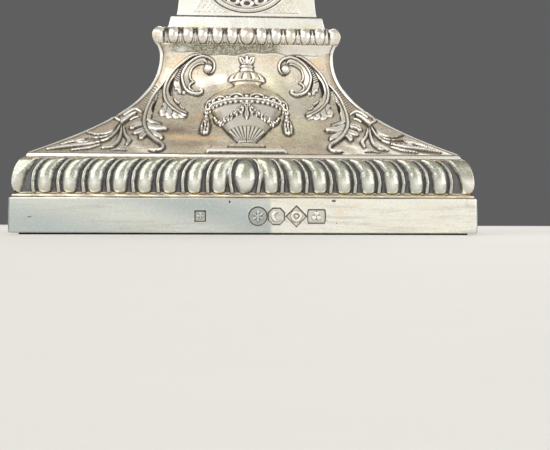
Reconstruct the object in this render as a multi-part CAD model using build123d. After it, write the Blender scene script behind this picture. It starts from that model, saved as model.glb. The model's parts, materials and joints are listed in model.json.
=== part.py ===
"""Square neoclassical table candlestick in stamped sheet silver, loaded with pitch.

Row frame: millimetres, +Z up, origin at the middle of the resting face.  The front side faces -Y.
A profile is a closed outline of (reach, z) points, where reach is the distance out from the
vertical axis.  A square moulding is that outline run along one side and mitred at the corners.
Each separate piece of metal, wood, cloth or pitch is one file in parts/.
"""

from build123d import *
import math
import os

# ---- driving dimensions ------------------------------------------------------------------
BASE_WIDTH = 114.0  # over the plain skirt
TOTAL_HEIGHT = 254.0  # table to the lip of the candle cup
SHEET = 0.9  # stamped sheet with its solder
CANDLE_BORE_R = 11.1  # takes a 22 mm candle
CUP_DEPTH = 24.0
CUP_CLEARANCE = 0.25  # radial, loose enough for the nozzle to lift out
REST_GAP = 0.05  # under the nozzle pan

# ---- base, from the table up -------------------------------------------------------------
FELT_THICKNESS = 0.8
SKIRT_FOOT_Z = 0.4
BOARD_TOP_Z = 4.8
SKIRT_TOP_Z = 9.0
SKIRT_LEDGE = 2.6
BORDER_REACH = 56.5  # widest point of the gadroons
BORDER_FOOT_REACH = 55.8
BORDER_HEAD_REACH = 54.3
BORDER_HEAD_Z = 18.1
PANEL_FOOT_REACH = 53.46
PANEL_FOOT_Z = 20.0
PANEL_FOOT_DEG = 30.2  # slope of the panel where it meets the border
PANEL_FOOT_PULL = 12.75  # length of the curve's handle there
NECK_REACH = 25.05
NECK_Z = 51.4
NECK_PULL = 14.6
COLLAR_FOOT_REACH = 26.0
COLLAR_FOOT_Z = 54.8
COLLAR_REACH = 27.05
COLLAR_TOP_Z = 60.2
STEP_FOOT_REACH = 23.2
STEP_TOP_REACH = 22.5
STEP_TOP_Z = 63.9

# ---- pedestal block with its oval paterae ------------------------------------------------
BLOCK_REACH = 21.0
BLOCK_WAIST_REACH = 20.2
BLOCK_TOP_Z = 84.9
PATERA_HALF_WIDTH = 11.6
PATERA_HALF_HEIGHT = 8.7
PATERA_PROUD = 0.9
CORNICE_REACH = 22.6
CORNICE_TOP_Z = 88.0

# ---- stem --------------------------------------------------------------------------------
SHOULDER_FOOT_REACH = 19.0
SHOULDER_HEAD_REACH = 7.2
SHOULDER_TOP_Z = 101.0
BEAD_REACH = 9.0
BEAD_TOP_Z = 105.0
STEM_FOOT_REACH = 6.8
STEM_HEAD_REACH = 10.2
STEM_TOP_Z = 183.0
CAPITAL_REACH = 13.4
CAPITAL_TOP_Z = 196.0
ROSETTE_R = 3.0
ROSETTE_PROUD = 0.9
ROD_R = 3.0
ROD_TOP_Z = 190.0

# ---- vase sconce and its loose nozzle ----------------------------------------------------
FOOT_R = 11.6
FOOT_NECK_R = 4.4
FOOT_TOP_Z = 206.0
BOWL_R = 18.0
BOWL_TOP_Z = 226.0
GIRDLE_R = 18.7
GIRDLE_TOP_Z = 229.0
VASE_NECK_R = 14.2
VASE_NECK_Z = 239.5
VASE_RIM_R = 16.6
VASE_RIM_Z = 249.0
PAN_REACH = 20.6
PAN_FLAT_REACH = 16.4
PAN_EDGE_Z = 251.4
NOZZLE_BORDER_REACH = 22.6
NOZZLE_BORDER_TOP_Z = 253.4
LIP_R = 13.2

# ---- worked out ----------------------------------------------------------------------------
SKIRT_REACH = BASE_WIDTH / 2
BOARD_REACH = SKIRT_REACH - SHEET
CUP_R = CANDLE_BORE_R + SHEET
LINER_BORE_R = CUP_R + CUP_CLEARANCE
LINER_R = LINER_BORE_R + 0.75
PAN_Z = VASE_RIM_Z + REST_GAP
CUP_FLOOR_Z = TOTAL_HEIGHT - CUP_DEPTH
BLOCK_INSIDE = BLOCK_REACH - 2 * SHEET
CORNICE_INSIDE = BLOCK_INSIDE - 1.2
FRIEZE_REACH = STEM_HEAD_REACH + 0.8
ASTRAGAL_TOP_Z = STEM_TOP_Z + 2.6
CAPITAL_CORNICE_Z = CAPITAL_TOP_Z - 3.2
PATERA_Z = (STEP_TOP_Z + BLOCK_TOP_Z) / 2
SIDES = ("front", "right", "back", "left")
HALF_RUN = 80.0  # more than the longest side's half
PARTS = "parts"


# ---- tools ---------------------------------------------------------------------------------
def at(reach, z):
    """A profile point on the front side."""
    return Vector(0, -reach, z)


def line(*points):
    """Straight runs through profile points."""
    return Polyline(*[at(*p) for p in points])


def arc(start, middle, end):
    """A round stretch through three profile points."""
    return ThreePointArc(at(*start), at(*middle), at(*end))


def curve(*points):
    """A Bezier stretch with profile points as its controls."""
    return Bezier(*[at(*p) for p in points])


def outline(*stretches):
    """The flat face inside stretches that follow each other."""
    edges = [edge for stretch in stretches for edge in stretch.edges()]
    return Face(Wire(edges))


def box_outline(reach_in, reach_out, z_low, z_high):
    """A rectangular profile."""
    corners = (reach_in, z_low), (reach_out, z_low), (reach_out, z_high), (reach_in, z_high), (reach_in, z_low)
    return outline(line(*corners))


def front_side(face):
    """One side of a square moulding, mitred at both ends."""
    run = extrude(face, amount=HALF_RUN, dir=(1, 0, 0), both=True)
    corner = make_face(Polyline((0, 0), (HALF_RUN, -HALF_RUN), (-HALF_RUN, -HALF_RUN), close=True))
    return run & extrude(corner, amount=TOTAL_HEIGHT)


def turned(shape, side):
    """A front piece turned to the side of that number, counted as in SIDES."""
    return Rot(0, 0, 90 * side) * shape


def square_ring(face):
    """A whole square moulding in one piece."""
    side = front_side(face)
    ring = side
    for number in range(1, len(SIDES)):
        ring = ring + turned(side, number)
    return ring


def lathe(face):
    """A round piece."""
    return revolve(face, axis=Axis.Z, revolution_arc=360)


def oval(half_width, half_height, z, reach_in, reach_out):
    """An elliptical plate standing across the front side."""
    plane = Plane(origin=(0, -reach_in, z), x_dir=(1, 0, 0), z_dir=(0, -1, 0))
    return extrude(plane * Ellipse(half_width, half_height), amount=reach_out - reach_in)


def save(name, shape):
    """Writes one named piece."""
    export_step(shape, os.path.join(PARTS, name + ".step"))


def save_four(name, front):
    """Writes a piece that repeats on the four sides."""
    for number, side in enumerate(SIDES):
        save(f"{name}_{side}", turned(front, number))


# ---- base ----------------------------------------------------------------------------------
def panel_skin(inset):
    """The hollow sweep of a base panel from its foot to the collar, moved in by inset."""
    slope = math.radians(PANEL_FOOT_DEG)
    handle = (
        PANEL_FOOT_REACH - PANEL_FOOT_PULL * math.cos(slope) - inset * math.sin(slope),
        PANEL_FOOT_Z + PANEL_FOOT_PULL * math.sin(slope) - inset * math.cos(slope),
    )
    foot = (PANEL_FOOT_REACH - inset / math.sin(slope), PANEL_FOOT_Z)
    neck = (NECK_REACH - inset, NECK_Z)
    head = (COLLAR_FOOT_REACH - inset, COLLAR_FOOT_Z)
    sweep = curve(foot, handle, (neck[0], NECK_Z - NECK_PULL), neck)
    cove = TangentArc(at(*neck), at(*head), tangent=(0, 0, 1))
    return sweep, cove, foot, head


def felt_pad():
    width = 2 * (BOARD_REACH - 1.0)
    return Pos(0, 0, FELT_THICKNESS / 2) * Box(width, width, FELT_THICKNESS)


def base_board():
    depth = BOARD_TOP_Z - FELT_THICKNESS
    return Pos(0, 0, FELT_THICKNESS + depth / 2) * Box(2 * BOARD_REACH, 2 * BOARD_REACH, depth)


def skirt_band():
    """Plain upright band, turned in at the top to carry the border."""
    ledge_reach = SKIRT_REACH - SKIRT_LEDGE
    under_z = SKIRT_TOP_Z - SHEET
    face = outline(
        line(
            (SKIRT_REACH, SKIRT_FOOT_Z),
            (SKIRT_REACH, SKIRT_TOP_Z),
            (ledge_reach, SKIRT_TOP_Z),
            (ledge_reach, under_z),
            (BOARD_REACH, under_z),
            (BOARD_REACH, SKIRT_FOOT_Z),
            (SKIRT_REACH, SKIRT_FOOT_Z),
        )
    )
    return square_ring(face)


def gadroon_border():
    """One mitred length of the swelling border with its plain fillet on top."""
    foot = (BORDER_FOOT_REACH, SKIRT_TOP_Z)
    head = (BORDER_HEAD_REACH, BORDER_HEAD_Z)
    belly = (BORDER_REACH, SKIRT_TOP_Z + 0.4 * (BORDER_HEAD_Z - SKIRT_TOP_Z))
    panel_inside = panel_skin(SHEET)[2][0]
    face = outline(
        arc(foot, belly, head),
        line(
            head,
            (PANEL_FOOT_REACH + 0.3, BORDER_HEAD_Z + 0.3),
            (PANEL_FOOT_REACH, PANEL_FOOT_Z),
            (panel_inside, PANEL_FOOT_Z),
            (panel_inside, PANEL_FOOT_Z - SHEET),
            (BORDER_FOOT_REACH - 1.4, SKIRT_TOP_Z),
            foot,
        ),
    )
    return front_side(face)


def base_panel():
    """One hollow-curved stamping, cut along its two hips."""
    sweep, cove, foot, head = panel_skin(0.0)
    sweep_in, cove_in, foot_in, head_in = panel_skin(SHEET)
    face = outline(sweep, cove, line(head, head_in), cove_in, sweep_in, line(foot_in, foot))
    return front_side(face)


def egg_collar():
    """Ovolo collar under the pedestal."""
    foot = (COLLAR_FOOT_REACH, COLLAR_FOOT_Z)
    head = (COLLAR_REACH - 1.6, COLLAR_TOP_Z)
    face = outline(
        arc(foot, (COLLAR_REACH, 0.6 * COLLAR_FOOT_Z + 0.4 * COLLAR_TOP_Z), head),
        line(
            head,
            (STEP_FOOT_REACH - SHEET, COLLAR_TOP_Z),
            (STEP_FOOT_REACH - SHEET, COLLAR_FOOT_Z),
            foot,
        ),
    )
    return square_ring(face)


def step_plinth():
    """Plain leaning step, turned in under the block."""
    under_z = STEP_TOP_Z - SHEET
    face = outline(
        line(
            (STEP_FOOT_REACH, COLLAR_TOP_Z),
            (STEP_TOP_REACH, STEP_TOP_Z),
            (BLOCK_INSIDE, STEP_TOP_Z),
            (BLOCK_INSIDE, under_z),
            (STEP_TOP_REACH - SHEET, under_z),
            (STEP_FOOT_REACH - SHEET, COLLAR_TOP_Z),
            (STEP_FOOT_REACH, COLLAR_TOP_Z),
        )
    )
    return square_ring(face)


# ---- pedestal block ------------------------------------------------------------------------
def block_waist(inset):
    """The block's slightly hollow side, moved in by inset."""
    foot = (BLOCK_REACH - inset, STEP_TOP_Z)
    head = (BLOCK_REACH - inset, BLOCK_TOP_Z)
    return arc(foot, (BLOCK_WAIST_REACH - inset, PATERA_Z), head), foot, head


def block_panel():
    """One side of the block, opened for its patera."""
    outer, foot, head = block_waist(0.0)
    inner, foot_in, head_in = block_waist(SHEET)
    side = front_side(outline(outer, line(head, head_in), inner, line(foot_in, foot)))
    opening = oval(PATERA_HALF_WIDTH, PATERA_HALF_HEIGHT, PATERA_Z, BLOCK_WAIST_REACH - 3, BLOCK_REACH + 1)
    return side - opening


def patera():
    """Oval plaque let into the block's side and standing a little proud."""
    back = BLOCK_WAIST_REACH - SHEET
    plaque = oval(PATERA_HALF_WIDTH, PATERA_HALF_HEIGHT, PATERA_Z, back, BLOCK_WAIST_REACH + PATERA_PROUD)
    front_edges = plaque.faces().sort_by(Axis.Y)[0].edges()
    return fillet(front_edges, PATERA_PROUD * 0.6)


def block_cornice():
    """Small square moulding over the block."""
    foot = (BLOCK_REACH + 0.2, BLOCK_TOP_Z)
    head = (BLOCK_REACH + 0.2, CORNICE_TOP_Z)
    middle_z = (BLOCK_TOP_Z + CORNICE_TOP_Z) / 2
    face = outline(
        arc(foot, (CORNICE_REACH, middle_z), head),
        line(head, (CORNICE_INSIDE, CORNICE_TOP_Z), (CORNICE_INSIDE, BLOCK_TOP_Z), foot),
    )
    return square_ring(face)


# ---- stem ----------------------------------------------------------------------------------
def shoulder_skin(inset):
    """Hollow sweep from the cornice in to the foot of the stem."""
    foot = (SHOULDER_FOOT_REACH - inset, CORNICE_TOP_Z)
    head = (SHOULDER_HEAD_REACH - inset, SHOULDER_TOP_Z)
    low_handle = (SHOULDER_FOOT_REACH - 8.4 - inset, CORNICE_TOP_Z + 2.6)
    high_handle = (SHOULDER_HEAD_REACH - inset, SHOULDER_TOP_Z - 7.0)
    return curve(foot, low_handle, high_handle, head), foot, head


def stem_shoulder():
    outer, foot, head = shoulder_skin(0.0)
    inner, foot_in, head_in = shoulder_skin(SHEET)
    return square_ring(outline(outer, line(head, head_in), inner, line(foot_in, foot)))


def stem_bead():
    """Square half-round collar at the foot of the stem."""
    middle_z = (SHOULDER_TOP_Z + BEAD_TOP_Z) / 2
    inside = STEM_FOOT_REACH - SHEET
    foot = (SHOULDER_HEAD_REACH, SHOULDER_TOP_Z)
    head = (STEM_FOOT_REACH + 0.2, BEAD_TOP_Z)
    face = outline(
        arc(foot, (BEAD_REACH, middle_z), head),
        line(head, (inside, BEAD_TOP_Z), (inside, SHOULDER_TOP_Z), foot),
    )
    return square_ring(face)


def stem_panel():
    """One tapering side of the stem, wider at the top."""
    face = outline(
        line(
            (STEM_FOOT_REACH, BEAD_TOP_Z),
            (STEM_HEAD_REACH, STEM_TOP_Z),
            (STEM_HEAD_REACH - SHEET, STEM_TOP_Z),
            (STEM_FOOT_REACH - SHEET, BEAD_TOP_Z),
            (STEM_FOOT_REACH, BEAD_TOP_Z),
        )
    )
    return front_side(face)


def capital():
    """Square capital: astragal, plain frieze and cornice, closed on top."""
    inside = STEM_HEAD_REACH - SHEET
    foot = (FRIEZE_REACH, STEM_TOP_Z)
    astragal_head = (FRIEZE_REACH, ASTRAGAL_TOP_Z)
    astragal_middle = (FRIEZE_REACH + 1.1, (STEM_TOP_Z + ASTRAGAL_TOP_Z) / 2)
    cornice_foot = (FRIEZE_REACH, CAPITAL_CORNICE_Z)
    cornice_middle = (FRIEZE_REACH + 0.9, CAPITAL_CORNICE_Z + 1.6)
    cornice_head = (CAPITAL_REACH, CAPITAL_TOP_Z - 1)
    face = outline(
        arc(foot, astragal_middle, astragal_head),
        line(astragal_head, cornice_foot),
        arc(cornice_foot, cornice_middle, cornice_head),
        line(
            cornice_head,
            (CAPITAL_REACH, CAPITAL_TOP_Z),
            (FOOT_NECK_R - SHEET, CAPITAL_TOP_Z),
            (FOOT_NECK_R - SHEET, CAPITAL_TOP_Z - SHEET),
            (inside, CAPITAL_TOP_Z - SHEET),
            (inside, STEM_TOP_Z),
            foot,
        ),
    )
    return square_ring(face)


def frieze_rosettes():
    """Four round bosses, one on each side of the frieze, as separate solids."""
    middle_z = (ASTRAGAL_TOP_Z + CAPITAL_CORNICE_Z) / 2
    plane = Plane(origin=(0, -FRIEZE_REACH, middle_z), x_dir=(1, 0, 0), z_dir=(0, -1, 0))
    boss = extrude(plane * Circle(ROSETTE_R), amount=ROSETTE_PROUD)
    return Compound(children=[turned(boss, number) for number in range(len(SIDES))])


def steel_rod():
    height = ROD_TOP_Z - BOARD_TOP_Z
    return Pos(0, 0, BOARD_TOP_Z + height / 2) * Cylinder(ROD_R, height)


# ---- pitch loading -------------------------------------------------------------------------
def base_filling():
    """Pitch from the board up to the step, round the rod."""
    sweep, cove, foot, head = panel_skin(SHEET)
    ledge_reach = SKIRT_REACH - SKIRT_LEDGE
    under_step_z = STEP_TOP_Z - SHEET
    body = outline(
        line(
            (0, BOARD_TOP_Z),
            (BOARD_REACH, BOARD_TOP_Z),
            (BOARD_REACH, SKIRT_TOP_Z - SHEET),
            (ledge_reach, SKIRT_TOP_Z - SHEET),
            (ledge_reach, SKIRT_TOP_Z),
            (foot[0], PANEL_FOOT_Z - SHEET),
            foot,
        ),
        sweep,
        cove,
        line(
            head,
            (STEP_FOOT_REACH - SHEET, COLLAR_FOOT_Z),
            (STEP_FOOT_REACH - SHEET, COLLAR_TOP_Z),
            (STEP_TOP_REACH - SHEET, under_step_z),
            (0, under_step_z),
            (0, BOARD_TOP_Z),
        ),
    )
    return square_ring(body) - steel_rod()


def stem_filling():
    """Pitch from the step up to the top of the stem, round the rod."""
    foot_z = STEP_TOP_Z - SHEET
    skin, foot, head = shoulder_skin(SHEET)
    stem_in = STEM_FOOT_REACH - SHEET
    body = outline(
        line(
            (0, foot_z),
            (BLOCK_INSIDE, foot_z),
            (BLOCK_INSIDE, BLOCK_TOP_Z - 3.0),
            (CORNICE_INSIDE, BLOCK_TOP_Z),
            (CORNICE_INSIDE, CORNICE_TOP_Z),
            foot,
        ),
        skin,
        line(
            head,
            (stem_in, SHOULDER_TOP_Z),
            (stem_in, BEAD_TOP_Z),
            (STEM_HEAD_REACH - SHEET, STEM_TOP_Z),
            (STEM_HEAD_REACH - SHEET, ROD_TOP_Z),
            (0, ROD_TOP_Z),
            (0, foot_z),
        ),
    )
    return square_ring(body) - steel_rod()


# ---- vase sconce ---------------------------------------------------------------------------
def sconce_foot():
    """Round spreading foot with a small knop."""
    face = outline(
        line((FOOT_R, CAPITAL_TOP_Z), (FOOT_R, CAPITAL_TOP_Z + 1.2)),
        curve(
            (FOOT_R, CAPITAL_TOP_Z + 1.2),
            (FOOT_R - 4.5, CAPITAL_TOP_Z + 1.6),
            (FOOT_NECK_R, CAPITAL_TOP_Z + 3.0),
            (FOOT_NECK_R, CAPITAL_TOP_Z + 6.6),
        ),
        arc(
            (FOOT_NECK_R, CAPITAL_TOP_Z + 6.6),
            (FOOT_NECK_R + 1.7, CAPITAL_TOP_Z + 8.2),
            (FOOT_NECK_R, FOOT_TOP_Z),
        ),
        line(
            (FOOT_NECK_R, FOOT_TOP_Z),
            (FOOT_NECK_R - 1.6, FOOT_TOP_Z),
            (FOOT_NECK_R - 1.6, CAPITAL_TOP_Z),
            (FOOT_R, CAPITAL_TOP_Z),
        ),
    )
    return lathe(face)


def bowl_skin(inset):
    """Round-bottomed bowl from the knop up to the girdle."""
    foot = (FOOT_NECK_R, FOOT_TOP_Z + inset)
    head = (BOWL_R - inset, BOWL_TOP_Z)
    low_handle = (FOOT_NECK_R + 8.6 - inset / 2, FOOT_TOP_Z + 1.6 + inset)
    high_handle = (BOWL_R - inset, BOWL_TOP_Z - 10.4)
    return curve(foot, low_handle, high_handle, head), foot, head


def sconce_bowl():
    outer, foot, head = bowl_skin(0.0)
    inner, foot_in, head_in = bowl_skin(SHEET)
    face = outline(
        outer,
        line(head, head_in),
        inner,
        line(foot_in, (0, foot_in[1]), (0, foot[1]), foot),
    )
    return lathe(face)


def sconce_girdle():
    """Bead round the widest part of the vase."""
    inside = BOWL_R - SHEET
    middle_z = (BOWL_TOP_Z + GIRDLE_TOP_Z) / 2
    foot = (BOWL_R, BOWL_TOP_Z)
    head = (BOWL_R - 0.3, GIRDLE_TOP_Z)
    face = outline(
        arc(foot, (GIRDLE_R, middle_z), head),
        line(head, (inside - 0.6, GIRDLE_TOP_Z), (inside - 0.6, BOWL_TOP_Z), foot),
    )
    return lathe(face)


def neck_skin(inset):
    """Domed shoulder of the vase, its neck and the flare to the rim."""
    foot = (BOWL_R - 0.3 - inset, GIRDLE_TOP_Z)
    waist = (VASE_NECK_R - inset, VASE_NECK_Z)
    head = (VASE_RIM_R - inset, VASE_RIM_Z - SHEET)
    dome = curve(foot, (foot[0] - 0.2, foot[1] + 4.6), (waist[0], waist[1] - 3.8), waist)
    flare = curve(waist, (waist[0], waist[1] + 4.2), (head[0] - 0.4, head[1] - 3.0), head)
    return dome, flare, foot, waist, head


def sconce_neck():
    dome, flare, foot, waist, head = neck_skin(0.0)
    dome_in, flare_in, foot_in, waist_in, head_in = neck_skin(SHEET)
    face = outline(dome, flare, line(head, head_in), flare_in, dome_in, line(foot_in, foot))
    return lathe(face)


def sconce_liner():
    """Tube that the nozzle drops into, with a floor and a rim that caps the vase."""
    floor_z = CUP_FLOOR_Z - 1.6
    under_rim_z = VASE_RIM_Z - SHEET
    face = outline(
        line(
            (0, floor_z),
            (LINER_R, floor_z),
            (LINER_R, under_rim_z),
            (VASE_RIM_R, under_rim_z),
            (VASE_RIM_R, VASE_RIM_Z),
            (LINER_BORE_R, VASE_RIM_Z),
            (LINER_BORE_R, floor_z + SHEET / 2),
            (0, floor_z + SHEET / 2),
            (0, floor_z),
        )
    )
    return lathe(face)


# ---- nozzle --------------------------------------------------------------------------------
def nozzle_cup():
    """Candle cup with a rolled lip."""
    floor_z = CUP_FLOOR_Z
    lip_z = TOTAL_HEIGHT
    face = outline(
        line(
            (0, floor_z - SHEET),
            (CUP_R, floor_z - SHEET),
            (CUP_R, lip_z - 2.2),
        ),
        arc((CUP_R, lip_z - 2.2), (LIP_R, lip_z - 1.1), (CUP_R, lip_z)),
        line(
            (CUP_R, lip_z),
            (CANDLE_BORE_R, lip_z),
            (CANDLE_BORE_R, floor_z),
            (0, floor_z),
            (0, floor_z - SHEET),
        ),
    )
    return lathe(face)


def nozzle_pan():
    """Square drip pan with a round hole, its edge lifted to meet the border."""
    flat = Pos(0, 0, PAN_Z + SHEET / 2) * Box(2 * PAN_FLAT_REACH, 2 * PAN_FLAT_REACH, SHEET)
    rim = outline(
        line(
            (PAN_FLAT_REACH, PAN_Z),
            (PAN_REACH, PAN_EDGE_Z - SHEET),
            (PAN_REACH, PAN_EDGE_Z),
            (PAN_FLAT_REACH, PAN_Z + SHEET),
            (PAN_FLAT_REACH, PAN_Z),
        )
    )
    hole = Pos(0, 0, PAN_Z) * Cylinder(CUP_R, 4 * SHEET)
    return flat + square_ring(rim) - hole


def nozzle_border():
    """One mitred length of the small gadroon border round the pan."""
    foot = (PAN_REACH, PAN_EDGE_Z - SHEET - 0.6)
    head = (PAN_REACH, NOZZLE_BORDER_TOP_Z)
    middle = (NOZZLE_BORDER_REACH, (foot[1] + head[1]) / 2)
    return front_side(outline(arc(foot, middle, head), line(head, foot)))


# ---- write every piece -----------------------------------------------------------------------
def main():
    os.makedirs(PARTS, exist_ok=True)
    save("felt_pad", felt_pad())
    save("base_board", base_board())
    save("skirt_band", skirt_band())
    save_four("gadroon_border", gadroon_border())
    save_four("base_panel", base_panel())
    save("egg_and_dart_collar", egg_collar())
    save("step_plinth", step_plinth())
    save_four("block_panel", block_panel())
    save_four("patera", patera())
    save("block_cornice", block_cornice())
    save("stem_shoulder", stem_shoulder())
    save("stem_bead", stem_bead())
    save_four("stem_panel", stem_panel())
    save("capital", capital())
    save("frieze_rosettes", frieze_rosettes())
    save("steel_rod", steel_rod())
    save("base_filling", base_filling())
    save("stem_filling", stem_filling())
    save("sconce_foot", sconce_foot())
    save("sconce_bowl", sconce_bowl())
    save("sconce_girdle", sconce_girdle())
    save("sconce_neck", sconce_neck())
    save("sconce_liner", sconce_liner())
    save("nozzle_cup", nozzle_cup())
    save("nozzle_pan", nozzle_pan())
    save_four("nozzle_border", nozzle_border())


main()
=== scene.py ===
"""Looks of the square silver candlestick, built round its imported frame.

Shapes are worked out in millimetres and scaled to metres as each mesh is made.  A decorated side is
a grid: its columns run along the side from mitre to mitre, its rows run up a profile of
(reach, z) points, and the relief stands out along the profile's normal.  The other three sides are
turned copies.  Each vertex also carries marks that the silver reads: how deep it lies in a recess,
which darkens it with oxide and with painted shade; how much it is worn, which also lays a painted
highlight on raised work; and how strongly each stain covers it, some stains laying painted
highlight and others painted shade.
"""

import json
import math

import bpy
import numpy as np
from mathutils import Matrix, Vector

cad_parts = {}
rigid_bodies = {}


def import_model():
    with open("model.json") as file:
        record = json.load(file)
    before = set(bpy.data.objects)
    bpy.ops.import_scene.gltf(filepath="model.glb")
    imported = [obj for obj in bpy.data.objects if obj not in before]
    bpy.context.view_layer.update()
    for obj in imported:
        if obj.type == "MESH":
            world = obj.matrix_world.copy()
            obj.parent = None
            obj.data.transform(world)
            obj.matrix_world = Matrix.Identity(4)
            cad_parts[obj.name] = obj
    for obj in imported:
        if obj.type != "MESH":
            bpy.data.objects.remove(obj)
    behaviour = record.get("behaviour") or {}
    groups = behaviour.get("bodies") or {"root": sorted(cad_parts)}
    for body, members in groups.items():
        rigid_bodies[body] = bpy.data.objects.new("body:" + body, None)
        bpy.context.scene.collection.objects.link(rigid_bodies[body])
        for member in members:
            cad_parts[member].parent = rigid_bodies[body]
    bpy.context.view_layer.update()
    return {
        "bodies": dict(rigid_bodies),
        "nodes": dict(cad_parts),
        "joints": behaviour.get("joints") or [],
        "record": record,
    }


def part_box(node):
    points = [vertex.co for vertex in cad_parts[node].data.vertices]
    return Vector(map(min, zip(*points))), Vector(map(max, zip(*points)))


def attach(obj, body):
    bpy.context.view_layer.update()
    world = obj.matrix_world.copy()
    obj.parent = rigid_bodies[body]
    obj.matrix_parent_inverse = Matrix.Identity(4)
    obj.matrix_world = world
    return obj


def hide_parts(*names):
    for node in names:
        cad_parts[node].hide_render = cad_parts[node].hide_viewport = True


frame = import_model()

MM = 0.001
SIDES = ("front", "right", "back", "left")
SHEET = 0.9  # gauge of the silver as the frame has it


def low_high(node):
    """A CAD node's lowest and highest corner in millimetres."""
    low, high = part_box(node)
    return [value / MM for value in low], [value / MM for value in high]


# ---- sizes taken from the frame ------------------------------------------------------------
SKIRT_LOW, SKIRT_HIGH = low_high("skirt_band")
BORDER_LOW, BORDER_HIGH = low_high("gadroon_border_right")
PANEL_LOW, PANEL_HIGH = low_high("base_panel_right")
COLLAR_LOW, COLLAR_HIGH = low_high("egg_and_dart_collar")
STEP_LOW, STEP_HIGH = low_high("step_plinth")
BLOCK_LOW, BLOCK_HIGH = low_high("block_panel_right")
PATERA_LOW, PATERA_HIGH = low_high("patera_right")
CORNICE_LOW, CORNICE_HIGH = low_high("block_cornice")
SHOULDER_LOW, SHOULDER_HIGH = low_high("stem_shoulder")
BEAD_LOW, BEAD_HIGH = low_high("stem_bead")
STEM_LOW, STEM_HIGH = low_high("stem_panel_right")
CAPITAL_LOW, CAPITAL_HIGH = low_high("capital")
ROSETTES_LOW, ROSETTES_HIGH = low_high("frieze_rosettes")
FOOT_LOW, FOOT_HIGH = low_high("sconce_foot")
BOWL_LOW, BOWL_HIGH = low_high("sconce_bowl")
GIRDLE_LOW, GIRDLE_HIGH = low_high("sconce_girdle")
NECK_LOW, NECK_HIGH = low_high("sconce_neck")
LINER_HIGH = low_high("sconce_liner")[1]
CUP_LOW, CUP_HIGH = low_high("nozzle_cup")
PAN_HIGH = low_high("nozzle_pan")[1]
RIM_LOW, RIM_HIGH = low_high("nozzle_border_right")


# ---- profiles ------------------------------------------------------------------------------
def steps(corner, *offsets):
    """Profile points given as (reach, z) offsets from a corner."""
    return np.array(corner, float) + np.array(offsets, float)


def bezier(*controls, count=120):
    """A Bezier stretch of a profile."""
    t = np.linspace(0, 1, count)[:, None]
    points = [np.array(c, float)[None, :] + 0 * t for c in controls]
    while len(points) > 1:
        points = [a + (b - a) * t for a, b in zip(points, points[1:])]
    return points[0]


def arc(start, middle, end, count=40):
    """A round stretch through three profile points."""
    (ax, ay), (bx, by), (cx, cy) = start, middle, end
    d = 2 * (ax * (by - cy) + bx * (cy - ay) + cx * (ay - by))
    a2, b2, c2 = ax * ax + ay * ay, bx * bx + by * by, cx * cx + cy * cy
    ox = (a2 * (by - cy) + b2 * (cy - ay) + c2 * (ay - by)) / d
    oy = (a2 * (cx - bx) + b2 * (ax - cx) + c2 * (bx - ax)) / d
    first, mid, last = (math.atan2(y - oy, x - ox) for x, y in (start, middle, end))
    mid, last = (mid - first) % math.tau, (last - first) % math.tau
    if mid > last:
        last -= math.tau
    angle = first + np.linspace(0, last, count)
    radius = math.hypot(ax - ox, ay - oy)
    return np.stack([ox + radius * np.cos(angle), oy + radius * np.sin(angle)], 1)


class Profile:
    """A line of (reach, z) points that is read by the length along it from its foot."""

    def __init__(self, *stretches):
        points = np.vstack(stretches)
        new = np.hypot(*np.diff(points, axis=0).T) > 1e-6
        self.points = points[np.r_[True, new]]
        self.along = np.r_[0, np.cumsum(np.hypot(*np.diff(self.points, axis=0).T))]
        self.length = self.along[-1]

    def place(self, s):
        """Reach and z at lengths s."""
        return np.interp(s, self.along, self.points[:, 0]), np.interp(s, self.along, self.points[:, 1])

    def at(self, point):
        """Length up to the profile point nearest to a given one."""
        return self.along[np.argmin(np.hypot(*(self.points - np.array(point)).T))]

    def up_to(self, z, count=None):
        """Length at which the first points of the profile reach a height."""
        return float(np.interp(z, self.points[:count, 1], self.along[:count]))

    def normal(self, s):
        """Outward direction at lengths s, eased round corners."""
        reading = 0.12  # millimetres either way
        low, high = np.maximum(s - reading, 0), np.minimum(s + reading, self.length)
        (r0, z0), (r1, z1) = self.place(low), self.place(high)
        size = np.maximum(np.hypot(r1 - r0, z1 - z0), 1e-9)
        return (z1 - z0) / size, -(r1 - r0) / size

    def rows(self, step):
        """Lengths about a step apart, both ends included."""
        return np.linspace(0, self.length, max(2, int(round(self.length / step)) + 1))


def upright(reach, low, high):
    """A plain upright profile, as for the inside of a ring."""
    return Profile([(reach, low), (reach, high)])


# ---- relief --------------------------------------------------------------------------------
def ease(value):
    """Smooth step from 0 to 1."""
    value = np.clip(value, 0, 1)
    return value * value * (3 - 2 * value)


def dome(q):
    """Round section, 1 in the middle and 0 at q of 1."""
    return np.sqrt(np.clip(1 - q * q, 0, 1))


def bell(value, width):
    """Bell curve, 1 at 0."""
    return np.exp(-((value / width) ** 2))


def blurred(grid, radius):
    """Gaussian blur of a grid by a radius in cells along each way."""
    for axis, size in enumerate(radius):
        reach = max(1, int(3 * size))
        weights = np.exp(-0.5 * (np.arange(-reach, reach + 1) / size) ** 2)
        weights /= weights.sum()
        ends = [(0, 0), (0, 0)]
        ends[axis] = (reach, reach)
        padded = np.pad(grid, ends, mode="edge")
        spans = (np.take(padded, np.arange(k, k + grid.shape[axis]), axis) for k in range(len(weights)))
        grid = sum(weight * span for weight, span in zip(weights, spans))
    return grid


def smooth_route(points, per_span=8):
    """A Catmull-Rom line through a few points."""
    p = np.array(points, float)
    p = np.vstack([2 * p[0] - p[1], p, 2 * p[-1] - p[-2]])
    t = np.linspace(0, 1, per_span, endpoint=False)[:, None]
    spans = []
    for a, b, c, d in zip(p, p[1:], p[2:], p[3:]):
        square, cube = 2 * a - 5 * b + 4 * c - d, 3 * b - a - 3 * c + d
        spans.append(0.5 * (2 * b + (c - a) * t + square * t**2 + cube * t**3))
    return np.vstack(spans + [p[-2][None, :]])


STAINS = ("tarnish_and_shade", "warm", "pale", "dusk", "straw")


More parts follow.
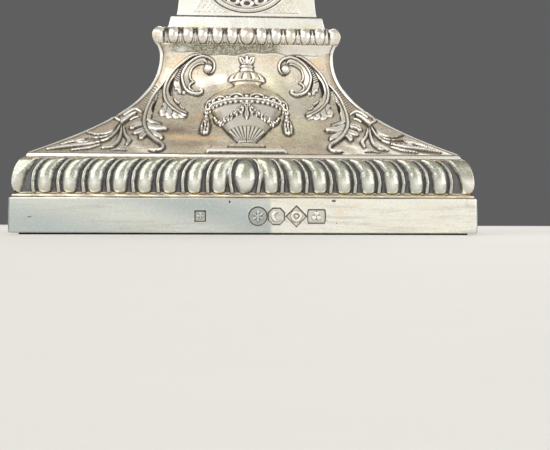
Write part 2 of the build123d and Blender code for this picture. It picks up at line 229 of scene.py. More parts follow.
class Field:
    """Relief over a flat grid of (x, s) points: its height, its blackening and its stains."""

    WALL = 0.22  # a raised edge climbs over this distance
    MARGIN = 0.3  # kept round a stroke's widest half width

    def __init__(self, x, s, shade=0.7):
        self.x, self.s = x, s
        self.shade = shade  # how black the hollows turn
        self.height = np.zeros(x.shape)
        self.dark = np.zeros(x.shape)
        self.stains = {name: np.zeros(x.shape) for name in STAINS}

    def near(self, points, margin):
        """Grid points in a box round some points."""
        low, high = points.min(0) - margin, points.max(0) + margin
        return (self.x > low[0]) & (self.x < high[0]) & (self.s > low[1]) & (self.s < high[1])

    def stroke(self, points, widths, height, section="round", mode="over", dark=0.0):
        """One chased line along a route, with half widths and heights spread evenly along it."""
        route = smooth_route(points)
        widths, height = np.atleast_1d(widths).astype(float), np.atleast_1d(height).astype(float)
        mask = self.near(route, widths.max() + self.MARGIN)
        if not mask.any():
            return
        p = np.stack([self.x[mask], self.s[mask]], 1)
        start, along = route[:-1], np.diff(route, axis=0)
        size = np.maximum((along**2).sum(1), 1e-9)
        offset = p[:, None, :] - start[None]
        share = np.clip((offset * along[None]).sum(2) / size, 0, 1)
        miss = offset - share[:, :, None] * along[None]
        distance = (miss**2).sum(2)
        best = distance.argmin(1)
        row = np.arange(len(p))
        t = (best + share[row, best]) / len(along)
        side = np.sign(along[best, 0] * miss[row, best, 1] - along[best, 1] * miss[row, best, 0])
        distance = np.sqrt(distance[row, best])
        w = np.interp(t, np.linspace(0, 1, len(widths)), widths)
        h = np.interp(t, np.linspace(0, 1, len(height)), height)
        q = distance / w
        wall = ease((1 - q) * w / self.WALL)
        shapes = {
            "round": dome(q),
            "flat": wall,
            "leaf": wall * (0.45 + 0.55 * dome(q) - 0.3 * bell(distance, 0.18)),
            "left_blade": wall * (0.58 + 0.42 * side * q),
            "soft": np.where(q < 1, np.cos(np.clip(q, 0, 1) * math.pi / 2) ** 2, 0),
        }
        self.lay(mask, h * shapes[section], mode, ease((1 - q) * 2.5), dark)

    def boss(self, centre, radii, height, mode="over", turn=0.0, dark=0.0):
        """A round or oval bead."""
        centre = np.array(centre, float)
        rx, rs = np.broadcast_to(radii, 2)
        mask = self.near(centre[None], max(rx, rs))
        if not mask.any():
            return
        dx, ds = self.x[mask] - centre[0], self.s[mask] - centre[1]
        c, n = math.cos(turn), math.sin(turn)
        q = np.hypot((dx * c + ds * n) / rx, (ds * c - dx * n) / rs)
        self.lay(mask, height * dome(q), mode, ease((1 - q) * 3), dark)

    def lay(self, mask, raised, mode="over", cover=0.0, dark=0.0):
        """Puts heights on the masked points: over what is there, added to it or cut from it."""
        current = self.height[mask]
        if mode == "over":
            cover = cover * (raised >= current)
            self.height[mask] = np.maximum(current, raised)
        elif mode == "add":
            self.height[mask] = current + raised
        else:
            self.height[mask] = current - raised
        self.dark[mask] += (dark - self.dark[mask]) * cover

    def blacken(self, amount):
        """Blackens at least as much as an amount."""
        self.dark = np.maximum(self.dark, amount)

    def cover(self, name, amount):
        """Stains at least as much as an amount."""
        self.stains[name] = np.maximum(self.stains[name], amount)

    def beaded(self, level, reach, bead, tall, dark, edge):
        """Raises beads of unit height and blackens the channel that they stand in."""
        inside = np.abs(self.s - level) < reach
        self.height += tall * bead * inside
        self.blacken(dark * (1 - ease(bead / edge)) * inside)

    def stain(self, name, centre, radii, amount, turn=0.0):
        """A soft cloud of tarnish, polish or colour."""
        c, n = math.cos(turn), math.sin(turn)
        dx, ds = self.x - centre[0], self.s - centre[1]
        q = np.hypot((dx * c + ds * n) / radii[0], (ds * c - dx * n) / radii[1])
        self.cover(name, amount * np.exp(-(q**2)))


# ---- meshes --------------------------------------------------------------------------------
def make_piece(name, points, faces, caps, marks, material, body, nodes):
    """A closed mesh object from millimetre points, riding on a body in place of CAD nodes."""
    mesh = bpy.data.meshes.new(name)
    mesh.from_pydata((np.asarray(points) * MM).tolist(), [], [list(f) for f in faces] + caps)
    smooth = np.ones(len(mesh.polygons), bool)
    smooth[len(faces):] = False
    mesh.polygons.foreach_set("use_smooth", smooth)
    for label, values in marks.items():
        layer = mesh.attributes.new(label, "FLOAT", "POINT")
        layer.data.foreach_set("value", np.asarray(values, np.float32).ravel())
    mesh.materials.append(material)
    mesh.validate()
    piece = bpy.data.objects.new(name, mesh)
    bpy.context.scene.collection.objects.link(piece)
    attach(piece, body)
    if nodes:
        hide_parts(*nodes)
    return piece


def grid_faces(rows, columns, wrap_rows, wrap_columns):
    """Quads of a grid of points stored row by row, facing out when rows go up and columns go right."""
    index = np.arange(rows * columns).reshape(rows, columns)
    if wrap_rows:
        index = np.vstack([index, index[:1]])
    if wrap_columns:
        index = np.hstack([index, index[:, :1]])
    a, b = index[:-1, :-1], index[:-1, 1:]
    c, d = index[1:, 1:], index[1:, :-1]
    return np.stack([a, b, c, d], -1).reshape(-1, 4)


def side_points(profile, s, columns, height, inset=0.0):
    """Front-side points: shares of the reach across, lengths s up, relief standing out."""
    reach, z = profile.place(s)
    normal_r, normal_z = profile.normal(s)
    out = height - inset
    full_reach = reach[:, None] + normal_r[:, None] * out
    x = columns[None, :] * reach[:, None]
    edge = ease(1 - (reach[:, None] - np.abs(x)) / 1.5)
    x = x + np.sign(columns)[None, :] * edge * normal_r[:, None] * out
    return np.stack([x, -full_reach, z[:, None] + normal_z[:, None] * out], -1)


def turned(points, side):
    """Points turned from the front to another side."""
    c, n = round(math.cos(side * math.pi / 2)), round(math.sin(side * math.pi / 2))
    x, y, z = np.moveaxis(points, -1, 0)
    return np.stack([c * x - n * y, n * x + c * y, z], -1)


def marks_of(field, pitch):
    """Vertex marks of a relief: recess where it lies low, darkened as oxide and as painted shade; wear where
    it stands proud, also laid as a painted highlight; and its stains.
    """
    def above(reading):
        """Height over the mean within a distance."""
        return field.height - blurred(field.height, [max(reading / p, 0.6) for p in pitch])

    broad, fine = above(0.4), above(0.2)
    # hollows darken as the oxide that old silver holds there and as painted shade; the fine reading draws a
    # thin painted shadow at the foot of every raised edge
    hollow = np.maximum(np.clip(-broad / 0.3, 0, 1), 1.15 * np.clip(-fine / 0.1, 0, 1)) * field.shade
    # raised work is marked as worn and painted with a highlight along every raised edge
    return {"recess": np.clip(np.maximum(hollow, field.dark), 0, 1),
            "wear_and_sheen": np.clip(np.maximum(broad / 0.18, fine / 0.09), 0, 1), **field.stains}


def relief_grid(profile, rows, columns, relief, shade):
    """Heights and vertex marks over one side."""
    reach, _ = profile.place(rows)
    x = columns[None, :] * reach[:, None]
    field = Field(x, rows[:, None] + 0 * x, shade)
    relief(field)
    pitch = (rows[1] - rows[0], np.abs(np.diff(columns)).min() * reach.mean())
    return field.height, marks_of(field, pitch)


def with_back(marks, extra):
    """Adds plain rows for the unseen back of a shell."""
    return {name: np.concatenate([values, np.zeros(extra)]) for name, values in marks.items()}


def four_sides(name, nodes, profile, row_step, across, relief, material, body="candlestick", back=SHEET,
               shade=0.7, inside=None):
    """One closed shell for each side, mitred where it meets its neighbours; the back follows the front."""
    rows, columns = profile.rows(row_step), even_columns(across)
    height, marks = relief_grid(profile, rows, columns, relief, shade)
    outer = side_points(profile, rows, columns, height)
    behind, inset, count = (profile, back, 8) if inside is None else (inside, 0.0, 3)
    level = np.zeros((count, across))
    inner = side_points(behind, np.linspace(behind.length, 0, count), columns, level, inset)
    points = np.concatenate([outer, inner])
    total, across = points.shape[:2]
    faces = grid_faces(total, across, True, False)
    index = np.arange(total * across).reshape(total, across)
    caps = [index[:, 0].tolist(), index[::-1, -1].tolist()]
    marks = with_back(marks, inner.shape[:2])
    for number, side in enumerate(SIDES):
        flat = turned(points, number).reshape(-1, 3)
        make_piece(f"{name}_{side}", flat, faces, caps, marks, material, body, [f"{nodes}_{side}"])


def square_ring(name, node, profile, inside, row_step, sides, material, shade=0.7):
    """A whole square moulding as one closed shell, from the columns and relief of each of its sides."""
    rows = profile.rows(row_step)
    back_rows = np.linspace(inside.length, 0, 4)
    strips, all_marks = [], []
    for number, (across, relief) in enumerate(sides):
        height, marks = relief_grid(profile, rows, across, relief, shade)
        outer = side_points(profile, rows, across, height)
        inner = side_points(inside, back_rows, across, np.zeros((len(back_rows), len(across))))
        strips.append(turned(np.concatenate([outer, inner]), number)[:, :-1])
        all_marks.append(with_back(marks, inner.shape[:2]))
    points = np.concatenate(strips, 1)
    faces = grid_faces(points.shape[0], points.shape[1], True, True)
    marks = {label: np.concatenate([m[label][:, :-1] for m in all_marks], 1) for label in all_marks[0]}
    make_piece(name, points.reshape(-1, 3), faces, [], marks, material, "candlestick", [node])


SEAM = 12  # columns carried over the seam of a turned piece, so its marks have none


def lathe(name, node, outer, inner, row_step, count, relief, material, body="candlestick"):
    """A turned piece with relief round it: the outer profile, then the inner one back down."""
    rows = outer.rows(row_step)
    angle = np.linspace(-math.pi, math.pi, count, endpoint=False)
    radius, z = outer.place(rows)
    normal_r, normal_z = outer.normal(rows)
    shape = (len(rows), count)
    field = Field(angle[None, :] + np.zeros(shape), rows[:, None] + np.zeros(shape))
    relief(field, radius[:, None])

    def wrapped(grid):
        return np.concatenate([grid[:, -SEAM:], grid, grid[:, :SEAM]], 1)

    wide = Field(wrapped(field.x), wrapped(field.s), shade=0.8)
    wide.height, wide.dark = wrapped(field.height), wrapped(field.dark)
    pitch = (rows[1] - rows[0], math.tau * radius.mean() / count)
    marks = {label: values[:, SEAM:-SEAM] for label, values in marks_of(wide, pitch).items()}
    back_r, back_z = inner.place(np.linspace(inner.length, 0, 9))
    level = np.zeros((len(back_r), count))
    far = np.concatenate([radius[:, None] + normal_r[:, None] * field.height, back_r[:, None] + level])
    up = np.concatenate([z[:, None] + normal_z[:, None] * field.height, back_z[:, None] + level])
    points = np.stack([far * np.sin(angle), -far * np.cos(angle), up], -1)
    faces = grid_faces(len(far), count, True, True)
    marks = with_back(marks, level.shape)
    make_piece(name, points.reshape(-1, 3), faces, [], marks, material, body, [node])


def even_columns(count):
    """Columns from mitre to mitre as shares of the reach."""
    return np.linspace(-1, 1, count)


def all_round(count, relief):
    """The same columns and relief on every side."""
    return [(even_columns(count), relief)] * len(SIDES)


def disc_grid(rings, count):
    """Shares of the radius and angles over a disc's grid, from the middle out."""
    angle = np.linspace(0, math.tau, count, endpoint=False)
    return np.outer(np.linspace(0, 1, rings), np.ones(count)), np.outer(np.ones(rings), angle)


def boss_shell(radii, middle_z, rho, theta, out, back):
    """Points, faces and flat back of an oval boss on the front, with its innermost ring merged to a point."""
    rings, count = rho.shape
    y = -out
    y[-1] = -back
    points = np.stack([radii[0] * rho * np.sin(theta), y, middle_z + radii[1] * rho * np.cos(theta)], -1)
    merged = count - 1
    faces = np.maximum(grid_faces(rings, count, False, True)[:, ::-1] - merged, 0)
    faces = [tuple(dict.fromkeys(corners)) for corners in faces.tolist()]
    last = (rings - 1) * count - merged
    return points.reshape(-1, 3)[merged:], faces, list(range(last, last + count))


# ---- materials -----------------------------------------------------------------------------
# Base colours of silver and what lies on it.
BRIGHT = (0.96, 0.945, 0.90)
CREAM = (0.90, 0.81, 0.62)
OLIVE = (0.52, 0.47, 0.34)
ROSE = (0.74, 0.52, 0.40)
GOLD = (0.82, 0.70, 0.44)
GREENISH = (0.42, 0.44, 0.38)
OXIDE = (0.045, 0.042, 0.045)
BROWN = (0.13, 0.095, 0.06)
DUSK = (0.37, 0.275, 0.245)
STRAW = (0.93, 0.90, 0.58)
AMBER = (1.0, 0.65, 0.33)


class Nodes:
    """A short way to write a material's node tree."""

    def __init__(self, name):
        self.material = bpy.data.materials.new(name)
        self.material.use_nodes = True
        self.tree = self.material.node_tree
        self.shader = self.tree.nodes["Principled BSDF"]
        self.where = self.tree.nodes.new("ShaderNodeTexCoord").outputs["Object"]

    def put(self, value, socket):
        """Links a node's output to a socket, or sets the socket to a number or colour."""
        if isinstance(value, bpy.types.NodeSocket):
            self.tree.links.new(value, socket)
        else:
            socket.default_value = value

    def stretched(self, scale):
        """Object coordinates scaled along each axis."""
        node = self.tree.nodes.new("ShaderNodeMapping")
        node.inputs["Scale"].default_value = scale
        self.tree.links.new(self.where, node.inputs["Vector"])
        return node.outputs["Vector"]

    def noise(self, scale, detail, roughness, vector=None, distortion=0.0):
        node = self.tree.nodes.new("ShaderNodeTexNoise")
        node.inputs["Scale"].default_value = scale
        node.inputs["Detail"].default_value = detail
        node.inputs["Roughness"].default_value = roughness
        node.inputs["Distortion"].default_value = distortion
        self.tree.links.new(vector or self.where, node.inputs["Vector"])
        return node.outputs["Fac"]

    def attribute(self, name):
        node = self.tree.nodes.new("ShaderNodeAttribute")
        node.attribute_name = name
        return node.outputs["Fac"]

    def spread(self, value, low, high, to_low=0.0, to_high=1.0):
        """Maps low..high to to_low..to_high, clamped."""
        node = self.tree.nodes.new("ShaderNodeMapRange")
        self.put(value, node.inputs["Value"])
        for label, number in (("From Min", low), ("From Max", high), ("To Min", to_low), ("To Max", to_high)):
            node.inputs[label].default_value = number
        return node.outputs["Result"]

    def math(self, operation, a, b):
        node = self.tree.nodes.new("ShaderNodeMath")
        node.operation = operation
        self.put(a, node.inputs[0])
        self.put(b, node.inputs[1])
        return node.outputs["Value"]

    def times(self, a, b):
        return self.math("MULTIPLY", a, b)

    def mix(self, share, a, b):
        node = self.tree.nodes.new("ShaderNodeMix")
        node.data_type = "RGBA"
        self.put(share, node.inputs["Factor"])
        for value, socket in ((a, node.inputs["A"]), (b, node.inputs["B"])):
            self.put(value if isinstance(value, bpy.types.NodeSocket) else (*value, 1.0), socket)
        return node.outputs["Result"]

    def bump(self, height, distance, under=None):
        node = self.tree.nodes.new("ShaderNodeBump")
        node.inputs["Strength"].default_value = 1.0
        node.inputs["Distance"].default_value = distance
        self.put(height, node.inputs["Height"])
        if under is not None:
            self.tree.links.new(under, node.inputs["Normal"])
        return node.outputs["Normal"]

    def finish(self, colour, roughness, metallic, normal=None):
        """Wires up the shader and returns the material."""
        self.put(colour, self.shader.inputs["Base Color"])
        self.put(roughness, self.shader.inputs["Roughness"])
        self.shader.inputs["Metallic"].default_value = metallic
        if normal is not None:
            self.put(normal, self.shader.inputs["Normal"])
        return self.material


def silver(name, bright=BRIGHT, cloud=CREAM, ground=OLIVE, grime_and_shade=BROWN, oxide=OXIDE, film=GREENISH,
           rubbed_and_highlit=BRIGHT, clouds=0.5, ground_share=0.3, rose=0.3, roughness=(0.16, 0.34), black=1.0,
           speckle=0.15, veiled=0.3, brushed=0.0, frost=0.45):
    """Old silver: bright where it is rubbed and where a highlight is painted on raised work, clouded in
    patches, and blackened where it is recessed, by oxide and by painted shade.

    clouds, ground_share and rose say how much of the surface each tone takes; veiled says how even
    the tarnish film is, brushed how strong the fine level lines are, frost how matte the pale stains.
    """
    ripple = 0.0001  # metres
    n = Nodes(name)
    recess, wear_and_sheen = n.attribute("recess"), n.attribute("wear_and_sheen")
    broad = n.noise(48, 4, 0.6, distortion=0.5)
    patches = n.noise(150, 5, 0.65, distortion=0.6)
    fine = n.noise(1500, 4, 0.65)
    dust = n.noise(4200, 2, 0.6)
    colour = n.mix(n.spread(broad, 0.66 - 0.4 * clouds, 0.70), bright, cloud)
    soil = n.spread(patches, 0.70 - 0.5 * ground_share, 0.82 - 0.25 * ground_share)
    soil = n.times(soil, n.spread(wear_and_sheen, 0.0, 0.7, 1.0, 0.15))
    soil = n.times(soil, n.spread(fine, 0.25, 0.6, 0.55, 1.0))
    colour = n.mix(soil, colour, ground)
    blush = n.spread(n.noise(80, 3, 0.5, distortion=0.8), 0.66 - 0.25 * rose, 0.80, 0.0, 0.75)
    colour = n.mix(blush, colour, ROSE)
    golden = n.spread(n.noise(310, 4, 0.6), 0.50, 0.68, 0.0, 0.8 * rose)
    colour = n.mix(golden, colour, GOLD)
    grains = n.noise(1700, 4, 0.75)
    colour = n.mix(n.spread(grains, 0.50, 0.62, 0.0, speckle), colour, ground)
    colour = n.mix(n.spread(grains, 0.46, 0.36, 0.0, speckle), colour, bright)
    grit = n.noise(2700, 2, 0.6)
    colour = n.mix(n.spread(grit, 0.56, 0.66, 0.0, 0.75 * speckle), colour, tuple(0.6 * c for c in ground))
    colour = n.mix(n.spread(grit, 0.44, 0.35, 0.0, 0.8 * speckle), colour, BRIGHT)
    streaks = n.noise(1300, 3, 0.6, n.stretched((0.06, 0.06, 1.0)))
    colour = n.mix(n.spread(streaks, 0.5, 0.68, 0.0, brushed), colour, grime_and_shade)
    dusky = n.times(n.attribute("dusk"), n.spread(n.noise(420, 4, 0.7), 0.36, 0.6, 0.45, 1.0))
    colour = n.mix(dusky, colour, DUSK)
    # the tarnish film; on the gadroons this stain is laid as painted shade
    veil = n.times(n.attribute("tarnish_and_shade"), n.spread(n.noise(1900, 3, 0.7), 0.42, 0.56, veiled, 1.0))
    colour = n.mix(veil, colour, film)
    colour = n.mix(n.times(n.attribute("warm"), n.spread(patches, 0.3, 0.65, 0.55, 1.0)), colour, AMBER)
    straw = n.times(n.attribute("straw"), n.spread(n.noise(520, 4, 0.7), 0.4, 0.6, 0.3, 1.0))
    colour = n.mix(straw, colour, STRAW)
    # the pale stain: polished patches, and on the gadroons and the vase a painted highlight
    colour = n.mix(n.times(n.attribute("pale"), n.spread(patches, 0.3, 0.6, 0.6, 1.0)), colour, BRIGHT)
    # raised work takes the rubbed colour: wear on the high points together with a painted highlight
    proud = n.times(n.spread(wear_and_sheen, 0.15, 0.8, 0.0, 0.92), n.spread(veil, 0.0, 0.9, 1.0, 0.2))
    colour = n.mix(proud, colour, rubbed_and_highlit)
    # recesses darken through grime to oxide: what the old silver holds there, together with painted shade at
    # the foot of raised work
    depth = n.times(recess, n.spread(fine, 0.3, 0.7, 1.3, 0.8))
    colour = n.mix(n.spread(depth, 0.05, 0.55, 0.0, 0.8 * black), colour, grime_and_shade)
    colour = n.mix(n.spread(depth, 0.4, 0.95, 0.0, black), colour, oxide)
    colour = n.mix(n.spread(dust, 0.66, 0.76, 0.0, 0.35), colour, grime_and_shade)
    rough = n.spread(patches, 0.3, 0.75, *roughness)
    rough = n.math("MAXIMUM", rough, n.spread(depth, 0.2, 1.0, 0.0, 0.55))
    rough = n.math("MAXIMUM", rough, n.times(veil, min(frost, 0.3) + 0.1))
    rough = n.math("MAXIMUM", rough, n.times(n.attribute("pale"), frost))
    normal = n.bump(n.noise(230, 3, 0.5), ripple)
    scratches = n.noise(900, 2, 0.5, n.stretched((0.18, 0.6, 3.0)))
    normal = n.bump(scratches, ripple / 8, under=normal)
    return n.finish(colour, rough, 1.0, normal)


def soft_matter(name, dark, light, scale, roughness, bump, metallic=0.0, stretch=(1, 1, 1)):
    """Felt, wood, pitch or iron: two tones of grain over a rough surface."""
    n = Nodes(name)
    grain = n.noise(scale, 6, 0.65, n.stretched(stretch))
    broad = n.noise(scale / 12, 3, 0.5)
    colour = n.mix(n.spread(grain, 0.3, 0.7), dark, light)
    colour = n.mix(n.spread(broad, 0.45, 0.8, 0.0, 0.5), colour, dark)
    return n.finish(colour, n.spread(grain, 0.3, 0.7, *roughness), metallic, n.bump(grain, bump))


PLAIN = silver("plain_silver", clouds=0.35, ground_share=0.05, rose=0.05, roughness=(0.2, 0.36))
SKIRTING = silver("skirt_silver", bright=(0.95, 0.94, 0.86), cloud=(0.93, 0.90, 0.78),
                  film=(0.49, 0.545, 0.54), ground_share=0.0, rose=0.0, roughness=(0.22, 0.36), black=0.9,
                  veiled=0.85, brushed=0.22)
BORDER = silver("border_silver", bright=(0.78, 0.79, 0.71), cloud=(0.66, 0.66, 0.56),
                grime_and_shade=(0.42, 0.40, 0.385),
                oxide=(0.19, 0.187, 0.19), film=(0.37, 0.385, 0.32), rubbed_and_highlit=(0.72, 0.735, 0.66), veiled=0.55,
                frost=0.1, ground_share=0.15, rose=0.2, roughness=(0.13, 0.24), speckle=0.3)
PLAQUED = silver("plaque_silver", bright=(0.95, 0.945, 0.88), cloud=(0.88, 0.84, 0.72),
                 grime_and_shade=(0.33, 0.265, 0.26),
                 oxide=(0.14, 0.10, 0.11), ground_share=0.05, rose=0.1, roughness=(0.2, 0.32))
COLLARED = silver("collar_silver", bright=(0.95, 0.94, 0.88), cloud=(0.84, 0.78, 0.66),
                  grime_and_shade=(0.30, 0.24, 0.20),
                  oxide=(0.10, 0.08, 0.07), clouds=0.6, roughness=(0.2, 0.34), speckle=0.6)
CHASED = silver("chased_silver", bright=(0.94, 0.91, 0.82), cloud=(0.90, 0.81, 0.64),
                ground=(0.57, 0.51, 0.385),
                film=(0.19, 0.20, 0.15), rubbed_and_highlit=(0.99, 0.98, 0.92), clouds=0.85, ground_share=0.36, rose=0.95,
                roughness=(0.22, 0.38), speckle=0.8)
UPPER = silver("upper_silver", bright=(0.80, 0.77, 0.69), cloud=(0.72, 0.64, 0.49),
               rubbed_and_highlit=(0.93, 0.92, 0.86), clouds=0.6, roughness=(0.18, 0.34), speckle=0.3)
STEPPED = silver("step_silver", bright=(0.96, 0.965, 0.93), cloud=(0.93, 0.90, 0.79),
                 clouds=0.4, ground_share=0.02,
                 rose=0.03, roughness=(0.2, 0.34))
BLOCKED = silver("block_silver", bright=(0.97, 0.975, 0.93), cloud=(0.94, 0.90, 0.76), ground_share=0.1,
                 rose=0.06, roughness=(0.22, 0.36))
INSIDE = silver("inner_silver", clouds=0.9, ground_share=0.5, rose=0.2, roughness=(0.3, 0.5))
FELT = soft_matter("green_felt", (0.012, 0.045, 0.025), (0.03, 0.10, 0.055), 1500, (0.9, 1.0), 0.0002)
WOOD = soft_matter("board_wood", (0.10, 0.05, 0.025), (0.30, 0.17, 0.09), 300, (0.55, 0.75), 0.0001,
                   stretch=(1, 12, 1))
PITCH = soft_matter("pitch", (0.012, 0.009, 0.007), (0.04, 0.03, 0.022), 200, (0.35, 0.6), 0.0001)
IRON = soft_matter("iron", (0.06, 0.055, 0.05), (0.16, 0.14, 0.125), 500, (0.45, 0.7), 0.00005, metallic=1.0)


# ---- skirt with its punch marks ------------------------------------------------------------
SKIRT_REACH = SKIRT_HIGH[0]


def cartouche(kind, x, z, size):
    """Distance inside a punch's outline in millimetres, negative outside."""
    ax, az = np.abs(x), np.abs(z)
    if kind == "disc":
        return size - np.hypot(x, z)
    if kind == "lozenge":
        return (size * 1.15 - ax - az) * 0.707
    if kind == "octagon":
        return np.minimum(size - np.maximum(ax, az), (size * 1.45 - ax - az) * 0.707)
    if kind == "barrel":
        return np.minimum(size * 0.8 - az, size * (1.05 - 0.16 * (z / size) ** 2) - ax)
    return np.minimum(size * 0.92 - az, size * 0.92 - ax)


TREFOIL = (0.0, 2.094, 4.189)  # directions of its lobes, in radians


def ornament(kind, x, z, size):
    """Raised device in the middle of a punch: 1 on it and 0 off it."""
    r, a = np.hypot(x, z), np.arctan2(x, z)
    if kind == "disc":  # six-pointed star
        return ease((size * (0.40 + 0.26 * np.cos(6 * a)) - r) / 0.12)
    if kind == "lozenge":  # ring and dot
        ring, dot = 0.14 * size - np.abs(r - 0.45 * size), 0.16 * size - r
        return ease(np.maximum(ring, dot) / 0.08)
    if kind == "octagon":  # crescent
        disc, bite = 0.62 * size - r, np.hypot(x - 0.28 * size, z) - 0.46 * size
        return ease(np.minimum(disc, bite) / 0.1)
    if kind == "barrel":  # trefoil
        lobes = [np.hypot(x - 0.3 * size * math.sin(b), z - 0.3 * size * math.cos(b)) for b in TREFOIL]
        return ease((0.27 * size - np.minimum.reduce(lobes)) / 0.1)
    return ease((size * (0.32 + 0.2 * np.cos(4 * a)) - r) / 0.1)  # four petals


# Each punch's outline, its place along the skirt and its half size.
PUNCHES = (("square", -11.2, 1.5), ("disc", 2.8, 2.35), ("octagon", 7.3, 2.1), ("lozenge", 12.2, 2.35),
           ("barrel", 17.1, 2.2))
PUNCH_UP = 4.2
PUNCH_DEPTH = 0.22
PUNCHED = (-14.0, 26.5)  # the stretch of the front that has the fine columns
PITS = ((-52, 3.9), (19.6, 3.1), (22.0, 2.5), (28.4, 2.9), (33.6, 2.0), (-33.0, 5.5), (38.0, 4.4))


def skirt_relief(marked):
    """The band's slight waves, a blue-grey film over the left of each side, and on the front its punches,
    nicks and pits.
    """
    def relief(field):
        across, up = field.x, field.s
        field.height += 0.05 * np.sin(across * 0.21 + 1.0) * np.sin(up * 0.5) - 0.03
        field.stains["tarnish_and_shade"] += 1.0 * ease((6.4 - across + 0.2 * np.sin(up * 1.3)) / 1.2) * (up < 8.6)
        field.stains["tarnish_and_shade"] *= 0.75 + 0.25 * np.sin(across * 0.11 + up * 0.4)
        if not marked:
            return
        for kind, x, size in PUNCHES:
            inside = cartouche(kind, across - x, up - PUNCH_UP, size)
            sunk = ease(inside / 0.16)
            lip = bell(inside + 0.14, 0.12)
            raised = ornament(kind, across - x, up - PUNCH_UP, size)
            device = raised * ease(inside / 0.3)
            rim = bell(inside - 0.1, 0.16)
            field.height += 0.05 * lip - PUNCH_DEPTH * sunk * (1 - 0.85 * device)
            field.blacken(np.maximum(0.1 * sunk * (1 - device), rim * (1 - 0.4 * lip)))
            field.blacken(bell(raised - 0.4, 0.32) * (inside > 0.1))
        field.boss((-4.1, 7.6), (0.28, 0.45), 0.15, "cut", turn=0.5, dark=0.9)
        field.boss((21.3, 8.0), (0.65, 0.32), 0.1, "cut", dark=0.9)
        field.stain("warm", (22.8, 5.0), (1.3, 1.1), 0.35)
        field.stain("warm", (25.6, 6.6), (3.0, 0.8), 0.2, turn=0.3)
        for pit in PITS:
            field.boss(pit, (0.13, 0.2), 0.08, "cut", dark=0.8)
    return relief


def make_skirt():
    low, high = SKIRT_LOW[2], SKIRT_HIGH[2]
    ledge = SKIRT_REACH - 2.6
    profile = Profile(steps((SKIRT_REACH, low), (-0.25, 0), (-0.03, 0.2)),
                      steps((SKIRT_REACH, high), (-0.03, -0.25), (-0.12, -0.05), (-0.3, 0)), [(ledge, high)])
    wall = SKIRT_REACH - SHEET
    inside = Profile([(wall, low), (wall, high - SHEET), (ledge, high - SHEET)])
    first, last = PUNCHED
    columns = np.r_[np.linspace(-SKIRT_REACH, first, 60, endpoint=False), np.arange(first, last, 0.1),
                    np.linspace(last, SKIRT_REACH, 60)] / SKIRT_REACH
    sides = [(columns, skirt_relief(True))] + all_round(90, skirt_relief(False))[1:]
    square_ring("skirt", "skirt_band", profile, inside, 0.12, sides, SKIRTING)


# ---- gadroon border ------------------------------------------------------------------------
# A lobe as (height share, middle, half width) and a cord as (height share, place), in lobe pitches.
LOBE = ((0.0, 0.01, 0.10), (0.02, 0.01, 0.20), (0.06, 0.01, 0.265), (0.14, 0.01, 0.30), (0.3, 0.005, 0.32),
        (0.57, -0.05, 0.325), (0.74, -0.19, 0.335), (0.845, -0.33, 0.34), (0.91, -0.44, 0.32),
        (0.96, -0.54, 0.26), (0.99, -0.60, 0.15), (1.0, -0.62, 0.05))
CORD = ((0.0, 0.45), (0.3, 0.495), (0.57, 0.435), (0.74, 0.29), (0.845, 0.16), (0.91, 0.0), (0.97, -0.2))
FIRST_CORD = ((0.0, 0.45), (0.3, 0.54), (0.55, 0.58), (0.8, 0.49), (0.93, 0.34), (1.0, 0.2))
CORD_HALF = 0.105
LEANS = (0.68, 0.9, 1.0)  # the lobes by the egg lean less than the others


